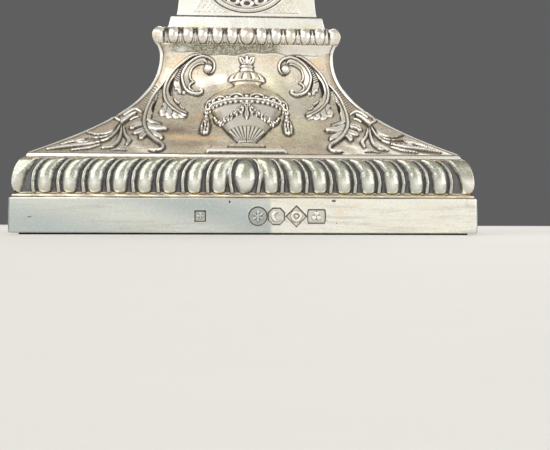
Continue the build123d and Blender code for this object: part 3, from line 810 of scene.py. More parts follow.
def gadroons(field, foot, head, pitch, count, tall, egg_half):
    """Lobes that lean to a middle egg, each with a thin cord beside it, and a smooth corner; the lobes carry
    painted shade up their tops and along their flanks, and a painted highlight low in the middle.
    """
    t = (field.s - foot) / (head - foot)
    inside = (t > 0) & (t < 1)
    egg_x = np.abs(field.x + 0.4) / pitch
    x = np.abs(field.x) / pitch - 0.12 * (field.x < 0)
    share, *lobe = np.transpose(LOBE)
    middle, half = (np.interp(t, share, values) for values in lobe)
    beside, beside_egg = (np.interp(t, *np.transpose(line)) for line in (CORD, FIRST_CORD))
    fade = ease(t / 0.05) * ease((0.985 - t) / 0.05)
    end = np.clip(1 - np.abs(2 * t - 1) ** 5, 0, 1) ** 0.5
    nearest = np.hypot(egg_x / (egg_half / pitch), (t - 0.48) / 0.5)
    raised = tall * dome(nearest) ** 0.85
    cords = 0.6 * tall * dome((x - beside_egg) / CORD_HALF) * fade
    for k in range(1, count + 1):
        lean = LEANS[min(k, len(LEANS)) - 1]
        q = (x - k - lean * middle) / half
        raised = np.maximum(raised, tall * dome(q) ** 0.85 * end)
        nearest = np.minimum(nearest, np.abs(q) + 0.5 * (1 - end) ** 2)
        swing = CORD[0][1] + lean * (beside - CORD[0][1])
        cords = np.maximum(cords, 0.6 * tall * dome((x - k - swing) / CORD_HALF) * fade)
    corner_at = count + 0.5 + 0.42 * (1 - np.clip(t, 0, 1)) - 0.5 * np.clip(t - 0.5, 0, 1)
    corner = ease((x - corner_at) / 0.16)
    ends = np.clip(1 - np.abs(2 * t - 1) ** 4, 0, 1) ** 0.5
    raised = np.maximum(raised, 0.92 * tall * corner * ends)
    nearest = np.minimum(nearest, 1.3 - 1.3 * corner)
    streak = 0.07 * np.sin(field.x * 19 + 4 * np.sin(field.s * 1.7)) + 0.06 * np.sin(field.x * 31 + field.s)
    # painted shade: the lobes darken along their flanks where they turn from the light, deepened by oxide in
    # the grooves between them
    gap = ease((nearest - 0.60 + streak) / 0.42) * (1 - 0.8 * ease(cords / (0.36 * tall)))
    # painted highlight low in the middle of each lobe, where the rounded silver is also rubbed bright
    rubbed_and_highlit = np.exp(-((nearest / 0.42) ** 2) * (egg_x > egg_half / pitch) - ((t - 0.27) / 0.15) ** 2)
    # painted shade: the tarnish stain is laid heavier up the lobes and towards their flanks, and kept off the
    # highlight
    shaded = 0.85 * ease((t - 0.12) / 0.4) + 0.35 * ease((nearest - 0.5) / 0.4)
    field.stains["tarnish_and_shade"] += np.where(inside, np.clip(0.25 + shaded, 0, 1) * (1 - rubbed_and_highlit), 0)
    field.stains["pale"] += np.where(inside, rubbed_and_highlit**1.5, 0)
    field.height += np.where(inside, np.maximum(raised, cords), 0)
    field.blacken(np.where(inside, gap * ease(t / 0.04) * ease((1 - t) / 0.04), 0))
    return t


def make_gadroons():
    foot_z, top_z = BORDER_LOW[2], BORDER_HIGH[2]
    reach, panel = BORDER_HIGH[0], PANEL_HIGH[0]
    foot_point = (reach - 1.65, foot_z + 1.0)
    head_point = (reach - 3.15, top_z - 1.15)
    profile = Profile(
        steps((reach, foot_z), (-1.3, 0), (-0.25, 0)),
        arc(*steps((reach, foot_z), (-0.2, 0.08), (-0.1, 0.4), (-0.3, 0.72))),
        [(reach - 0.5, foot_z + 0.85), foot_point],
        arc(foot_point, (reach - 1.45, foot_z + 4.2), head_point),
        steps((reach, top_z), (-2.75, -1.0), (-2.65, -0.85), (-2.68, -0.6)),
        steps((panel, top_z), (0.12, -0.15), (0, -0.05), (-0.2, 0), (-1.6, 0)),
    )
    foot, head = profile.at(foot_point), profile.at(head_point)

    def relief(field):
        t = gadroons(field, foot, head, pitch=6.0, count=8, tall=1.5, egg_half=2.75)
        lip = bell(field.s - 1.5, 0.5)
        field.height += 0.12 * np.sin(field.x * 1.05 + 0.6 * np.sin(field.x * 0.37)) * lip
        field.stains["warm"] += 0.55 * bell(field.s - 1.9, 0.8)
        field.stains["warm"] += 0.35 * ease((t - 0.78) / 0.15) * (0.6 + 0.4 * np.sin(field.x * 0.7))
        field.cover("pale", 0.8 * ease((t - 1.02) / 0.03))
        field.blacken(0.65 * bell(field.s - foot + 0.3, 0.3) * (0.7 + 0.3 * np.sin(field.x * 1.05)))
        field.blacken(0.95 * bell(field.s - 1.1, 0.22))

    four_sides("gadroons", "gadroon_border", profile, 0.13, 561, relief, BORDER, back=0.75,
               shade=0.3)


# ---- base panels: vase, swags and acanthus scrolls -------------------------------------------
PANEL_FOOT_DEG = 30.2
PANEL_FOOT_PULL = 12.75
NECK_PULL = 14.6
NECK_REACH = COLLAR_HIGH[0] - 2.0
NECK_Z = PANEL_HIGH[2] - 3.4


def panel_profile():
    """The hollow sweep from the border up to the neck, then the small cove under the collar."""
    slope = math.radians(PANEL_FOOT_DEG)
    foot = (PANEL_HIGH[0], PANEL_LOW[2])
    handle = (foot[0] - PANEL_FOOT_PULL * math.cos(slope), foot[1] + PANEL_FOOT_PULL * math.sin(slope))
    t = np.linspace(0, 1, 30)
    cove = np.stack([NECK_REACH + 0.95 * t * t, NECK_Z + (PANEL_HIGH[2] - NECK_Z) * t], 1)
    sweep = bezier(foot, handle, (NECK_REACH, NECK_Z - NECK_PULL), (NECK_REACH, NECK_Z), count=400)
    return Profile(sweep, cove)


# Outline of the vase as (length up the panel, half width, relief in the middle).
VASE = (
    (4.9, 3.2, 0.9), (5.7, 3.0, 0.9), (6.3, 2.3, 0.8), (7.6, 2.6, 1.0), (9.2, 3.5, 1.4), (11.1, 4.5, 1.85),
    (15.0, 6.15, 2.6), (18.7, 7.7, 3.1), (22.8, 9.3, 3.4), (25.0, 10.6, 3.5), (26.4, 11.5, 3.5),
    (27.6, 11.5, 3.5), (29.0, 10.8, 3.3), (30.1, 10.2, 3.1), (32.0, 8.5, 2.7), (33.1, 6.4, 2.3),
    (34.0, 4.4, 1.9), (34.8, 3.6, 1.7), (35.4, 3.7, 1.7), (35.9, 4.7, 1.9), (36.3, 5.3, 2.1),
    (37.2, 5.25, 2.1), (38.1, 4.8, 2.0), (38.8, 4.0, 1.8), (39.2, 3.1, 1.6), (39.6, 2.0, 1.3),
    (40.2, 1.95, 1.35), (40.7, 1.6, 1.2), (41.2, 2.0, 1.4), (41.8, 1.55, 1.1), (42.4, 1.7, 1.0),
)
VASE_FLAT = 0.6  # share of that relief which the chaser kept
RIM_AT = 27.6
BEADS_AT = 25.9
VASE_HALF = 11.6
FLUTES = (5.9, 3.3, 0.112)  # where they start, the level they fan from, and their pitch in that fan


def rim_drop(x):
    """How far the vase's rim falls away from its middle as it turns from view."""
    return 4.6 * (1 - np.sqrt(np.clip(1 - (x / 12.0) ** 2, 0.02, 1)))


def vase(field):
    """The stepped plinth, the vase and its lid."""
    x, s = field.x, field.s
    everywhere = (x < 14) & (s < 45.4)

    def slab(low, high, half_low, half_high, tall):
        share = np.clip((s - low) / (high - low), 0, 1)
        edge = np.minimum(np.minimum(s - low, high - s), half_low + (half_high - half_low) * share - x)
        field.lay(everywhere, (tall * ease(edge / 0.24))[everywhere])
        field.blacken(bell(edge + 0.14, 0.2) * everywhere * (s > low - 0.1))

    slab(2.2, 4.4, 9.3, 8.7, 0.45)
    slab(0.35, 2.3, 10.2, 9.2, 0.8)
    slab(1.9, 4.6, 4.65, 4.4, 0.9)
    level, *shape = np.transpose(VASE)
    half, tall = (np.interp(s, level, values) for values in shape)
    q = x / half
    between = (s > level[0]) & (s < level[-1])
    on_body = between & (q < 1)
    body = np.where(on_body, VASE_FLAT * tall * np.clip(1 - q**2.6, 0, 1) ** 0.6, 0)
    field.lay(everywhere, body[everywhere])
    field.dark[on_body] = 0
    field.blacken(0.8 * bell((q - 1) * half - 0.15, 0.26) * between)
    # painted shade: the body darkens towards its sides as it turns away, with a dusky tone laid there too
    field.blacken(0.4 * on_body * ease((q - 0.9) / 0.1))
    field.cover("dusk", 0.7 * on_body * (s > 12) * (s < 26) * ease((q - 0.62) / 0.3))

    # flutes that fan up from the foot, with rounded heads
    start, origin, pitch = FLUTES
    fan = x / np.maximum(s - origin, 0.1)
    head = 13.9 - 0.055 * x**2
    reach = (s > start) & (s < head) & on_body
    wave = np.abs(np.sin(fan / pitch * math.pi))
    ends = ease((head - s) / 0.5) * ease((s - start) / 0.4)
    field.lay(reach, ((0.34 * wave**0.7 + 0.12) * ends)[reach], "add")
    field.dark[reach] = ((1 - ease((wave - 0.2) / 0.36)) * ends)[reach]
    # the flutes' ridges are painted pale as a highlight
    field.cover("pale", reach * ease((wave - 0.4) / 0.25))
    # painted highlight over the middle of the body
    middle = on_body * (s > 9) * (s < 27.5) * ease((0.93 - q) / 0.2)
    field.cover("pale", 0.8 * middle * (1 - reach))
    low_slab = (s > 0.4) * (s < 2.3) * (x < 10.2 - 0.5 * s)
    field.cover("pale", 0.8 * low_slab)
    field.blacken(0.7 * bell(s - head - 0.1, 0.22) * on_body * (s > 7))

    # rim line, beads under it and scallops over it, all on the rim's curve
    level = s + rim_drop(x)
    rim = on_body & (np.abs(level - RIM_AT) < 0.36)
    field.blacken(0.8 * on_body * (bell(level - BEADS_AT, 0.75) + bell(level - 29.0, 1.1)) * (level < 31))
    field.lay(rim, (0.4 * dome((level - RIM_AT) / 0.36))[rim], "add")
    field.dark[rim] = 0
    for k in range(10):
        turn = math.radians(7.6 * k)
        at = VASE_HALF * math.sin(turn)
        size = (0.52 * max(math.cos(turn), 0.5), 0.5)
        field.boss((at, BEADS_AT - float(rim_drop(at))), size, 0.62, "add")
    for degrees in (14.5, 41.0, 64.0):
        turn = math.radians(degrees)
        middle, wide = VASE_HALF * math.sin(turn), 1.75 * math.cos(turn) + 0.2
        base = 28.2 - float(rim_drop(middle))
        arch = [(middle - wide, base), (middle - 0.8 * wide, base + 1.2), (middle, base + 1.9),
                (middle + 0.8 * wide, base + 1.2), (middle + wide, base)]
        field.stroke(arch, 0.26, 0.42, "round", "add")
        field.boss((middle, base + 0.5), (0.4 * wide, 0.5), 0.35, "add")
    for degrees in (0.0, 28.0, 53.0, 78.0):
        turn = math.radians(degrees)
        at = VASE_HALF * math.sin(turn)
        field.boss((at, 28.8 - float(rim_drop(at))), (0.45 * math.cos(turn) + 0.15, 0.5), 0.45, "add")

    # gadroons on the lid, its collar rings and the leafy bud
    lid = on_body & (s > 36.6) & (s < 39.3)
    rib = np.abs(np.cos(np.arcsin(np.clip(q, 0, 1)) * 6))
    held = ease((s - 36.6) / 0.4) * ease((39.3 - s) / 0.5)
    field.lay(lid, (0.35 * (rib - 0.5) * held)[lid], "add")
    field.dark[lid] = (0.75 * (1 - ease(rib / 0.55)) * held)[lid]
    field.blacken(0.6 * on_body * (bell(s - 36.0, 0.25) + bell(s - 40.9, 0.2) + bell(s - 39.5, 0.2)))
    field.stroke([(0, 42.1), (0, 44.3)], [0.45, 0.7, 0.4], 1.3)
    field.stroke([(0.5, 42.1), (0.9, 43.2), (1.6, 44.1)], [0.45, 0.5, 0.3], 1.15, "leaf")
    field.stroke([(1.1, 42.0), (1.7, 42.9), (2.0, 44.0)], [0.35, 0.42, 0.3], 0.95)


def laurel(field):
    """Swag from the middle bow to the handle, the hanging spray and the tassel beside the vase."""
    swag = [(0.5, 24.8), (1.6, 22.6), (3.2, 20.2), (5.0, 18.3), (6.7, 17.1), (8.0, 18.0), (8.9, 20.4)]
    field.stroke(swag, [0.5, 1.1, 1.45, 1.55, 1.5, 1.1, 0.8], 0.0, "flat", "add", dark=0.85)
    field.stroke(swag, [0.3, 0.55, 0.75, 0.85, 0.8, 0.55, 0.4], 0.3, "round", "add", dark=0.3)
    route = smooth_route([(0.7, 24.4), (1.6, 22.6), (3.2, 20.2), (5.0, 18.3), (6.7, 17.1)], 6)
    stations = np.linspace(1, len(route) - 3, 7).astype(int)
    for number, k in enumerate(stations):
        at, way = route[k], route[k + 1] - route[k]
        way = way / np.hypot(*way)
        over = np.array([-way[1], way[0]])
        size = 0.9 + 0.4 * math.sin(math.pi * (number + 1) / 8)
        for side, turn in ((-1, 1.25), (1, 0.95), (0, 1.5)):
            lean = turn + 0.3 * math.sin(2.3 * number + side)
            tip = at + size * (lean * 0.75 * way + 0.9 * side * over)
            middle = (at + tip) / 2 + 0.15 * side * over
            field.stroke([at, middle, tip], [0.26, 0.38, 0.14], 0.38 + 0.15 * (side == 0), "round", "add")
            field.stroke([at + 0.1 * way, middle + 0.1 * way], 0.12, 0.12, "soft", "cut", dark=0.9)
        field.boss(at - 0.45 * way, 0.2, 0.12, "cut", dark=0.95)
    for x, s in ((6.6, 17.6), (7.5, 17.9), (7.0, 16.5), (8.2, 19.0), (5.9, 16.9), (8.7, 20.2)):
        field.boss((x, s), 0.45, 0.5, "add")
        field.boss((x + 0.45, s - 0.4), 0.2, 0.15, "cut", dark=0.9)
    # bow, spray and ribbon ends in the middle
    field.boss((0.0, 24.6), (0.7, 0.55), 0.5, "add")
    field.stroke([(0.2, 24.4), (0.0, 22.0), (0.0, 19.4), (0.0, 17.4)],
                 [0.25, 0.5, 0.75, 0.3], 0.6, "leaf", "add")
    field.stroke([(0.5, 23.8), (1.2, 21.4), (1.5, 19.0)], [0.22, 0.42, 0.2], 0.45, "leaf", "add")
    field.stroke([(0.7, 22.0), (0.8, 20.2), (0.75, 18.8)], 0.16, 0.3, "soft", "cut", dark=0.9)
    # ring handle where the tassel hangs
    field.stroke([(10.2, 24.6), (11.2, 23.9), (11.4, 22.8), (10.8, 22.2)], [0.3, 0.34, 0.32, 0.24], 1.0)
    for offset in (-0.85, 0.0, 0.85):
        route = [(11.0 + 0.15 * offset, 22.0), (11.05 + 0.5 * offset, 18.8), (11.1 + 0.85 * offset, 15.6),
                 (11.15 + 0.95 * offset, 12.3)]
        field.stroke(route, [0.26, 0.42, 0.56, 0.45], [0.7, 1.0, 1.1, 0.9])
    for route in ([(10.7, 19.8), (10.6, 17.0), (10.6, 14.2)], [(11.5, 19.4), (11.6, 16.4), (11.6, 14.0)]):
        field.stroke(route, [0.1, 0.18, 0.1], 0.4, "soft", "cut", dark=1.0)
    for x, s in ((11.0, 20.6), (10.7, 18.6), (11.4, 17.6), (11.0, 15.6), (10.3, 15.9), (11.9, 15.0),
                 (10.5, 13.5)):
        field.boss((x, s), (0.36, 0.5), 0.35, "add")
        field.boss((x + 0.3, s - 0.75), (0.16, 0.2), 0.15, "cut", dark=0.85)
    field.blacken(0.7 * bell(np.hypot((field.x - 11.0) / 1.55, (field.s - 16.0) / 5.0) - 1.02, 0.1))


def acanthus(field):
    """Three rising scrolls with their leaves, the husk near the hip and the spray to the corner."""

    def line(points, widths, tall, section="round"):
        """A raised line with a blackened edge."""
        field.stroke(points, np.add(widths, 0.3), 0.0, "flat", "add", 0.8)
        field.stroke(points, widths, tall, section)

    def cut(points, widths, deep, dark):
        """A line cut into what is there."""
        field.stroke(points, widths, deep, "soft", "cut", dark)

    def ticks(start, way, half, under, wide, tall, deep):
        """A row of eight short raised ticks, each with a dark cut under it."""
        for t in np.linspace(0, 1, 8):
            at = np.add(start, np.multiply(way, t))
            field.stroke([at - half, at + half], wide, tall, "round", "add")
            cut(at + under, wide - 0.01, deep, 1.0)

    # ground leaf that carries the ticks between the first and second scroll
    line([(17.8, 41.6), (19.4, 39.0), (20.2, 36.6), (19.8, 34.4), (18.9, 32.6)],
         [0.4, 0.8, 1.05, 1.0, 0.5], 0.4, "flat")
    for x, s, r in ((17.9, 31.9, 0.55), (19.1, 32.1, 0.5), (20.1, 33.4, 0.5)):
        field.boss((x, s), r, 0.8)
    ticks((18.6, 41.2), (1.6, -4.4), (0.5, 0.26), ((-0.5, -0.6), (0.55, -0.06)), 0.18, 0.34, 0.15)
    # first scroll: band, inner leaf, rim and eye
    line([(11.6, 42.3), (12.2, 43.0), (13.3, 43.1), (15.1, 42.3), (16.6, 40.8), (17.5, 38.6), (17.3, 36.0),
          (16.6, 33.9), (15.2, 32.2), (13.8, 31.9), (12.9, 32.4)],
         [0.2, 0.5, 0.9, 1.05, 1.05, 1.05, 1.0, 0.9, 0.65, 0.45, 0.35], 0.62, "left_blade")
    line([(12.5, 42.1), (13.3, 42.15), (14.7, 41.55), (15.8, 40.5), (16.4, 38.8), (16.2, 37.1), (15.2, 36.0)],
         [0.2, 0.24, 0.26, 0.26, 0.28, 0.26, 0.2], 0.75)
    line([(15.2, 36.0), (15.9, 35.5), (16.5, 34.6), (16.2, 33.3), (15.0, 32.4)],
         [0.22, 0.26, 0.28, 0.26, 0.2], 0.75)
    line([(11.2, 38.9), (10.1, 39.2), (9.5, 40.4), (9.5, 42.0), (10.2, 43.2), (11.4, 43.95), (13.2, 44.2),
          (15.3, 43.3), (17.3, 41.4), (18.6, 38.4), (18.35, 35.8), (17.4, 33.2), (15.8, 31.7), (13.9, 31.3),
          (12.9, 31.9), (12.7, 32.9)],
         [0.16, 0.24, 0.3, 0.34, 0.38, 0.4] + 7 * [0.42] + [0.4, 0.34, 0.3], 1.0)
    eye_x, eye_s, half_x, half_s = 11.2, 40.45, 1.3, 1.45
    field.boss((eye_x, eye_s), (half_x, half_s), 1.45)
    field.blacken(0.7 * bell(np.hypot((field.x - eye_x) / half_x, (field.s - eye_s) / half_s) - 1.1, 0.1))
    field.boss((13.1, 32.9), 0.6, 1.05)
    # second scroll
    line([(18.6, 41.9), (20.4, 39.4), (21.6, 36.8), (22.2, 34.2), (22.3, 31.4), (21.5, 28.8), (20.0, 26.4),
          (18.3, 24.6), (17.0, 23.3)],
         [0.25, 0.6, 0.9, 1.15, 1.25, 1.25, 1.1, 1.0, 0.7], [0.4, 0.55, 0.6, 0.65, 0.65, 0.6, 0.55],
         "left_blade")
    cut([(21.0, 37.4), (21.5, 35.8), (21.8, 34.0), (21.9, 32.4), (21.5, 30.6)],
        [0.2, 0.55, 0.6, 0.5, 0.2], 0.5, 1.0)
    cut([(20.9, 29.4), (19.9, 27.6), (18.9, 26.3), (18.2, 25.3)], [0.15, 0.25, 0.25, 0.15], 0.3, 0.8)
    line([(20.3, 29.0), (19.6, 28.0), (19.0, 27.6)], 0.2, 0.75)
    line([(18.6, 26.4), (18.1, 25.4), (17.5, 25.0)], 0.2, 0.75)
    field.stroke([(17.5, 22.6), (19.2, 22.8), (21.2, 23.3), (22.4, 25.0)], 1.9, 0.0, "flat", "add", 0.65)
    for tip, root in (((17.5, 21.4), (18.05, 22.6)), ((19.3, 21.3), (19.65, 22.95)),
                      ((21.2, 21.3), (21.4, 23.55)), ((23.0, 22.6), (22.9, 24.9))):
        bend = ((tip[0] + root[0]) / 2 + 0.2, (tip[1] + root[1]) / 2)
        field.stroke([root, bend, tip], [0.8, 1.15, 0.9], [0.7, 0.78, 0.5])
    field.stroke([(17.3, 22.5), (19.2, 23.2), (21.0, 24.4), (22.4, 26.4)], [1.0, 1.5, 1.7, 1.2], 0.8, "flat")
    for low, high in (((18.4, 21.9), (19.2, 24.0)), ((20.3, 21.9), (20.9, 24.8)),
                      ((22.2, 22.6), (22.2, 26.0))):
        bend = ((low[0] + high[0]) / 2 - 0.15, (low[1] + high[1]) / 2)
        cut([low, bend, high], [0.18, 0.14, 0.05], 0.16, 0.55)
    line([(13.2, 44.8), (15.4, 44.5), (17.4, 43.3), (19.8, 41.1), (21.9, 38.3), (23.2, 34.9), (23.4, 31.5),
          (22.5, 27.9), (20.6, 24.7), (18.6, 22.6), (16.9, 21.4)],
         [0.16, 0.3, 0.36, 0.4, 0.42, 0.42, 0.42, 0.46, 0.52, 0.62, 0.55],
         [0.8, 0.95, 1.0, 1.05, 1.05, 1.05, 1.05, 1.0, 1.0, 0.95, 0.85])
    # third scroll
    line([(24.6, 33.6), (25.7, 30.9), (26.4, 28.0), (26.7, 25.0), (26.7, 21.8), (26.1, 19.0), (24.8, 17.0)],
         [0.25, 0.55, 0.8, 0.9, 0.95, 0.9, 0.6], [0.4, 0.55, 0.6, 0.6, 0.55], "left_blade")
    ticks((24.9, 33.0), (0.9, -4.4), (0.4, 0.12), ((-0.4, -0.42), (0.4, -0.2)), 0.16, 0.3, 0.13)
    cut([(25.4, 28.6), (25.9, 26.9), (26.0, 24.9), (25.9, 23.6)], [0.2, 0.48, 0.5, 0.2], 0.45, 1.0)
    cut([(26.1, 22.0), (25.8, 19.6), (24.8, 18.0)], [0.15, 0.24, 0.15], 0.3, 0.8)
    line([(25.4, 19.2), (24.4, 18.6), (23.5, 17.6), (23.9, 16.6)], [0.25, 0.38, 0.36, 0.2], 0.75)
    line([(26.8, 19.2), (25.6, 18.0), (24.3, 17.0), (23.3, 16.3)], [0.5, 0.95, 0.95, 0.5], 0.8)
    line([(26.8, 16.4), (25.3, 15.3), (23.5, 14.6), (21.9, 14.3)], [1.0, 1.6, 1.6, 1.0], 0.95)
    cut([(25.4, 15.9), (24.2, 15.5), (23.3, 15.6)], [0.1, 0.2, 0.1], 0.25, 0.8)
    line([(25.7, 13.0), (24.2, 11.5), (22.8, 10.2), (22.0, 8.7)], [0.6, 1.15, 1.05, 0.5], 0.75)
    line([(27.6, 17.4), (28.7, 16.7), (29.9, 16.1), (30.4, 14.6)], [0.7, 1.15, 1.15, 0.7], 0.75, "leaf")
    line([(26.9, 14.2), (27.9, 12.9), (28.9, 11.8)], [0.8, 1.25, 0.85], 0.75, "leaf")
    line([(26.0, 12.0), (27.0, 10.3), (27.2, 8.8)], [0.6, 1.0, 0.65], 0.7, "leaf")
    line([(23.4, 36.0), (24.5, 34.2), (25.7, 32.1), (26.8, 29.2), (27.5, 25.7), (27.8, 21.8), (27.6, 18.2),
          (26.8, 14.4), (25.4, 11.0), (23.7, 8.2), (22.1, 6.1), (21.1, 4.0), (21.2, 2.1), (22.4, 1.2),
          (24.0, 1.7)],
         [0.18, 0.3, 0.38, 0.42, 0.44, 0.46, 0.5, 0.54, 0.56, 0.52, 0.46, 0.42, 0.4, 0.38, 0.3],
         [0.8, 0.95, 1.0, 1.05, 1.05, 1.05, 1.0, 1.0, 0.95, 0.9, 0.85, 0.85, 0.8, 0.8, 0.7])
    # hatching between the third scroll and the hip
    for x, s in np.linspace((25.9, 34.4), (31.1, 21.8), 16):
        cut([(x - 0.5, s - 0.35), (x + 0.5, s + 0.35)], 0.14, 0.12, 0.75)
    # husk by the hip
    line([(28.9, 23.2), (30.5, 24.6), (32.0, 23.8), (33.4, 21.8)], [0.25, 0.5, 0.55, 0.35], 0.75, "leaf")
    line([(29.5, 21.0), (30.5, 20.6), (31.5, 19.4)], [0.25, 0.38, 0.25], 0.6, "leaf")
    line([(34.2, 18.9), (35.4, 20.1), (35.0, 21.3)], [0.35, 0.5, 0.3], 0.7, "leaf")
    line([(30.4, 22.4), (31.8, 21.0), (33.0, 18.8), (33.8, 16.9)], [0.25, 0.62, 0.75, 0.45], 1.1)
    # spray that runs down to the corner
    for frond in (
        ([(34.1, 17.0), (34.9, 13.8), (36.5, 11.4), (38.8, 10.8), (41.6, 12.0)],
         [0.24, 0.28, 0.28, 0.26, 0.18], 0.6),
        ([(33.9, 16.6), (34.9, 12.2), (37.1, 9.3), (41.0, 8.8)], [0.2, 0.22, 0.22, 0.16], 0.5),
        ([(33.7, 16.2), (34.5, 11.2), (36.1, 7.5), (39.0, 6.0), (43.6, 6.2)],
         [0.25, 0.3, 0.34, 0.32, 0.2], 0.65),
        ([(33.2, 15.6), (32.8, 11.0), (32.8, 6.7), (33.8, 3.5), (35.8, 2.6)],
         [0.3, 0.4, 0.55, 0.55, 0.35], 0.75, "leaf"),
        ([(32.7, 15.4), (31.6, 11.0), (30.1, 7.6), (30.2, 4.9)], [0.25, 0.4, 0.6, 0.4], 0.65, "leaf"),
        ([(30.0, 1.5), (31.7, 2.1), (33.5, 1.4)], [0.22, 0.36, 0.22], 0.5, "leaf"),
        ([(37.5, 6.4), (41.0, 4.6), (45.0, 3.4), (49.2, 1.6)], [0.35, 0.75, 0.7, 0.3], 0.7, "leaf"),
        ([(37.0, 4.7), (39.8, 2.7), (43.2, 1.4)], [0.3, 0.52, 0.26], 0.6, "leaf"),
        ([(41.5, 8.0), (44.2, 6.7), (46.6, 4.8)], [0.26, 0.45, 0.22], 0.6, "leaf"),
    ):
        line(*frond)


# Stains on the panels: name, middle, radii, strength and turn.
PANEL_STAINS = (
    ("pale", (-19.0, 45.9), (1.9, 1.1), 0.95, 0.5),
    ("pale", (14.5, 23.5), (2.6, 8.0), 0.5, 0.15),
    ("pale", (0.0, 41.5), (9.0, 2.6), 0.5),
    ("pale", (13.5, 27.0), (5.5, 9.0), 0.35),
    ("tarnish_and_shade", (-16.0, 16.0), (8.0, 3.0), 0.3),
    ("tarnish_and_shade", (33.0, 1.6), (8.0, 1.8), 0.45),
    ("warm", (-14.5, 9.6), (8.0, 1.0), 0.85),
    ("warm", (-17.2, 10.2), (3.4, 1.1), 1.0),
    ("warm", (19.5, 42.4), (3.4, 1.8), 0.7),
    ("warm", (-19.8, 42.6), (3.2, 2.0), 0.55),
    ("warm", (7.0, 42.8), (5.0, 1.3), 0.4),
    ("warm", (-11.0, 21.0), (4.0, 2.5), 0.3),
    ("dusk", (-17.0, 13.8), (10.0, 3.0), 1.0),
    ("dusk", (-14.0, 6.0), (10.0, 2.4), 0.9),
    ("dusk", (-13.5, 18.5), (3.2, 5.0), 0.35, -0.3),
    ("dusk", (16.0, 5.0), (10.0, 2.8), 0.6),
    ("dusk", (4.0, 34.0), (3.5, 1.2), 0.4),
    ("straw", (-17.6, 10.3), (2.3, 0.75), 1.0),
    ("straw", (15.0, 17.0), (4.5, 6.5), 0.5),
    ("straw", (-12.5, 43.5), (7.0, 2.0), 0.35),
    ("straw", (8.5, 35.0), (3.2, 6.5), 0.75, 0.5),
    ("straw", (-22.0, 40.0), (2.5, 2.6), 0.4),
    ("straw", (27.0, 5.0), (3.0, 1.6), 0.3),
    ("straw", (-4.5, 33.5), (3.0, 1.4), 0.4),
)


def panel_relief(reach_at):
    """The chased ornament, mirrored about the panel's middle, under stains that aren't mirrored."""
    def relief(field):
        half = Field(np.abs(field.x), field.s)
        acanthus(half)
        half.stains["pale"] = 0.8 * ease((half.height - 0.2) / 0.35)
        vase(half)
        laurel(half)
        x, s = field.x, field.s
        in_from_hip = reach_at(s) - half.x
        rib = 0.12 * bell(in_from_hip, 0.32)
        ground = half.height < 0.25
        uneven = 0.05 * np.sin(x * 0.37 + 0.8) * np.sin(s * 0.31) + 0.03 * np.sin(x * 0.9 + s * 0.7)
        half.height += ground * uneven
        half.height -= 0.12 * bell(in_from_hip - 0.75, 0.22) * ground
        edge = ease((in_from_hip - 0.2) / 0.4)
        field.height += half.height * edge + np.maximum(rib, 0)
        field.dark = np.maximum(half.dark * edge, 0.6 * bell(in_from_hip - 0.85, 0.25))
        field.stains.update(half.stains)
        field.cover("dusk", 0.55 * bell(in_from_hip - 1.4, 0.7))
        field.cover("pale", ease((0.5 - in_from_hip) / 0.15))
        field.blacken(0.6 * bell(s, 0.25))
        # tarnish, rubbed patches and warm streaks
        wave = 45.0 + 0.45 * np.sin(x * 0.27 + 0.4) + 0.2 * np.sin(x * 0.8 + 1.0)
        band = ease((s - wave) / 0.25) * ease((48.2 - s) / 0.4)
        lens = 0.95 * band * (ease((x + 23.5) / 3.0) * ease((11.5 - x) / 4.0))
        field.cover("tarnish_and_shade", lens)
        field.cover("tarnish_and_shade", 0.55 * bell(s - 46.0 + 0.06 * (x - 17), 0.35) * ease((x - 10) / 5))
        washed = np.maximum(bell(s - wave + 0.16, 0.26) * (half.x < 21), 0.85 * band * ease((x - 8) / 4))
        field.blacken(0.45 * bell(s - wave - 0.2, 0.16) * (half.x < 21))
        field.cover("pale", washed)
        field.blacken(0.5 * ease((s - 47.9) / 0.3))
        lean = (s - 36.7) - 0.3 * (x + 9.6)
        rubbed_and_highlit = np.minimum((4.4 - np.abs(x + 9.6 + 0.5 * lean)) / 0.5, (1.75 - np.abs(lean)) / 0.3)
        field.cover("pale", 0.85 * ease(rubbed_and_highlit) * (s < 40.5))
        for stain in PANEL_STAINS:
            field.stain(*stain)
        field.cover("tarnish_and_shade", 0.25 * bell(s, 2.5) * ground)
        cloud = 0.35 + 0.3 * np.sin(x * 0.23 + 1.2) * np.sin(s * 0.4 + 0.5)
        low_cloud = 0.5 * cloud * ease((21 - s) / 9) * ease((x - 7) / 6)
        field.cover("tarnish_and_shade", low_cloud)
        field.cover("tarnish_and_shade", 0.3 * bell(in_from_hip - 1.0, 0.5))

    return relief


def make_panels():
    profile = panel_profile()
    relief = panel_relief(lambda s: profile.place(s)[0])
    four_sides("panel", "base_panel", profile, 0.22, 471, relief, CHASED)


# ---- egg and dart collar -------------------------------------------------------------------
BROAD_DARTS_FROM = 6.4  # right of this the darts are broader and taller, as the old stamp left them


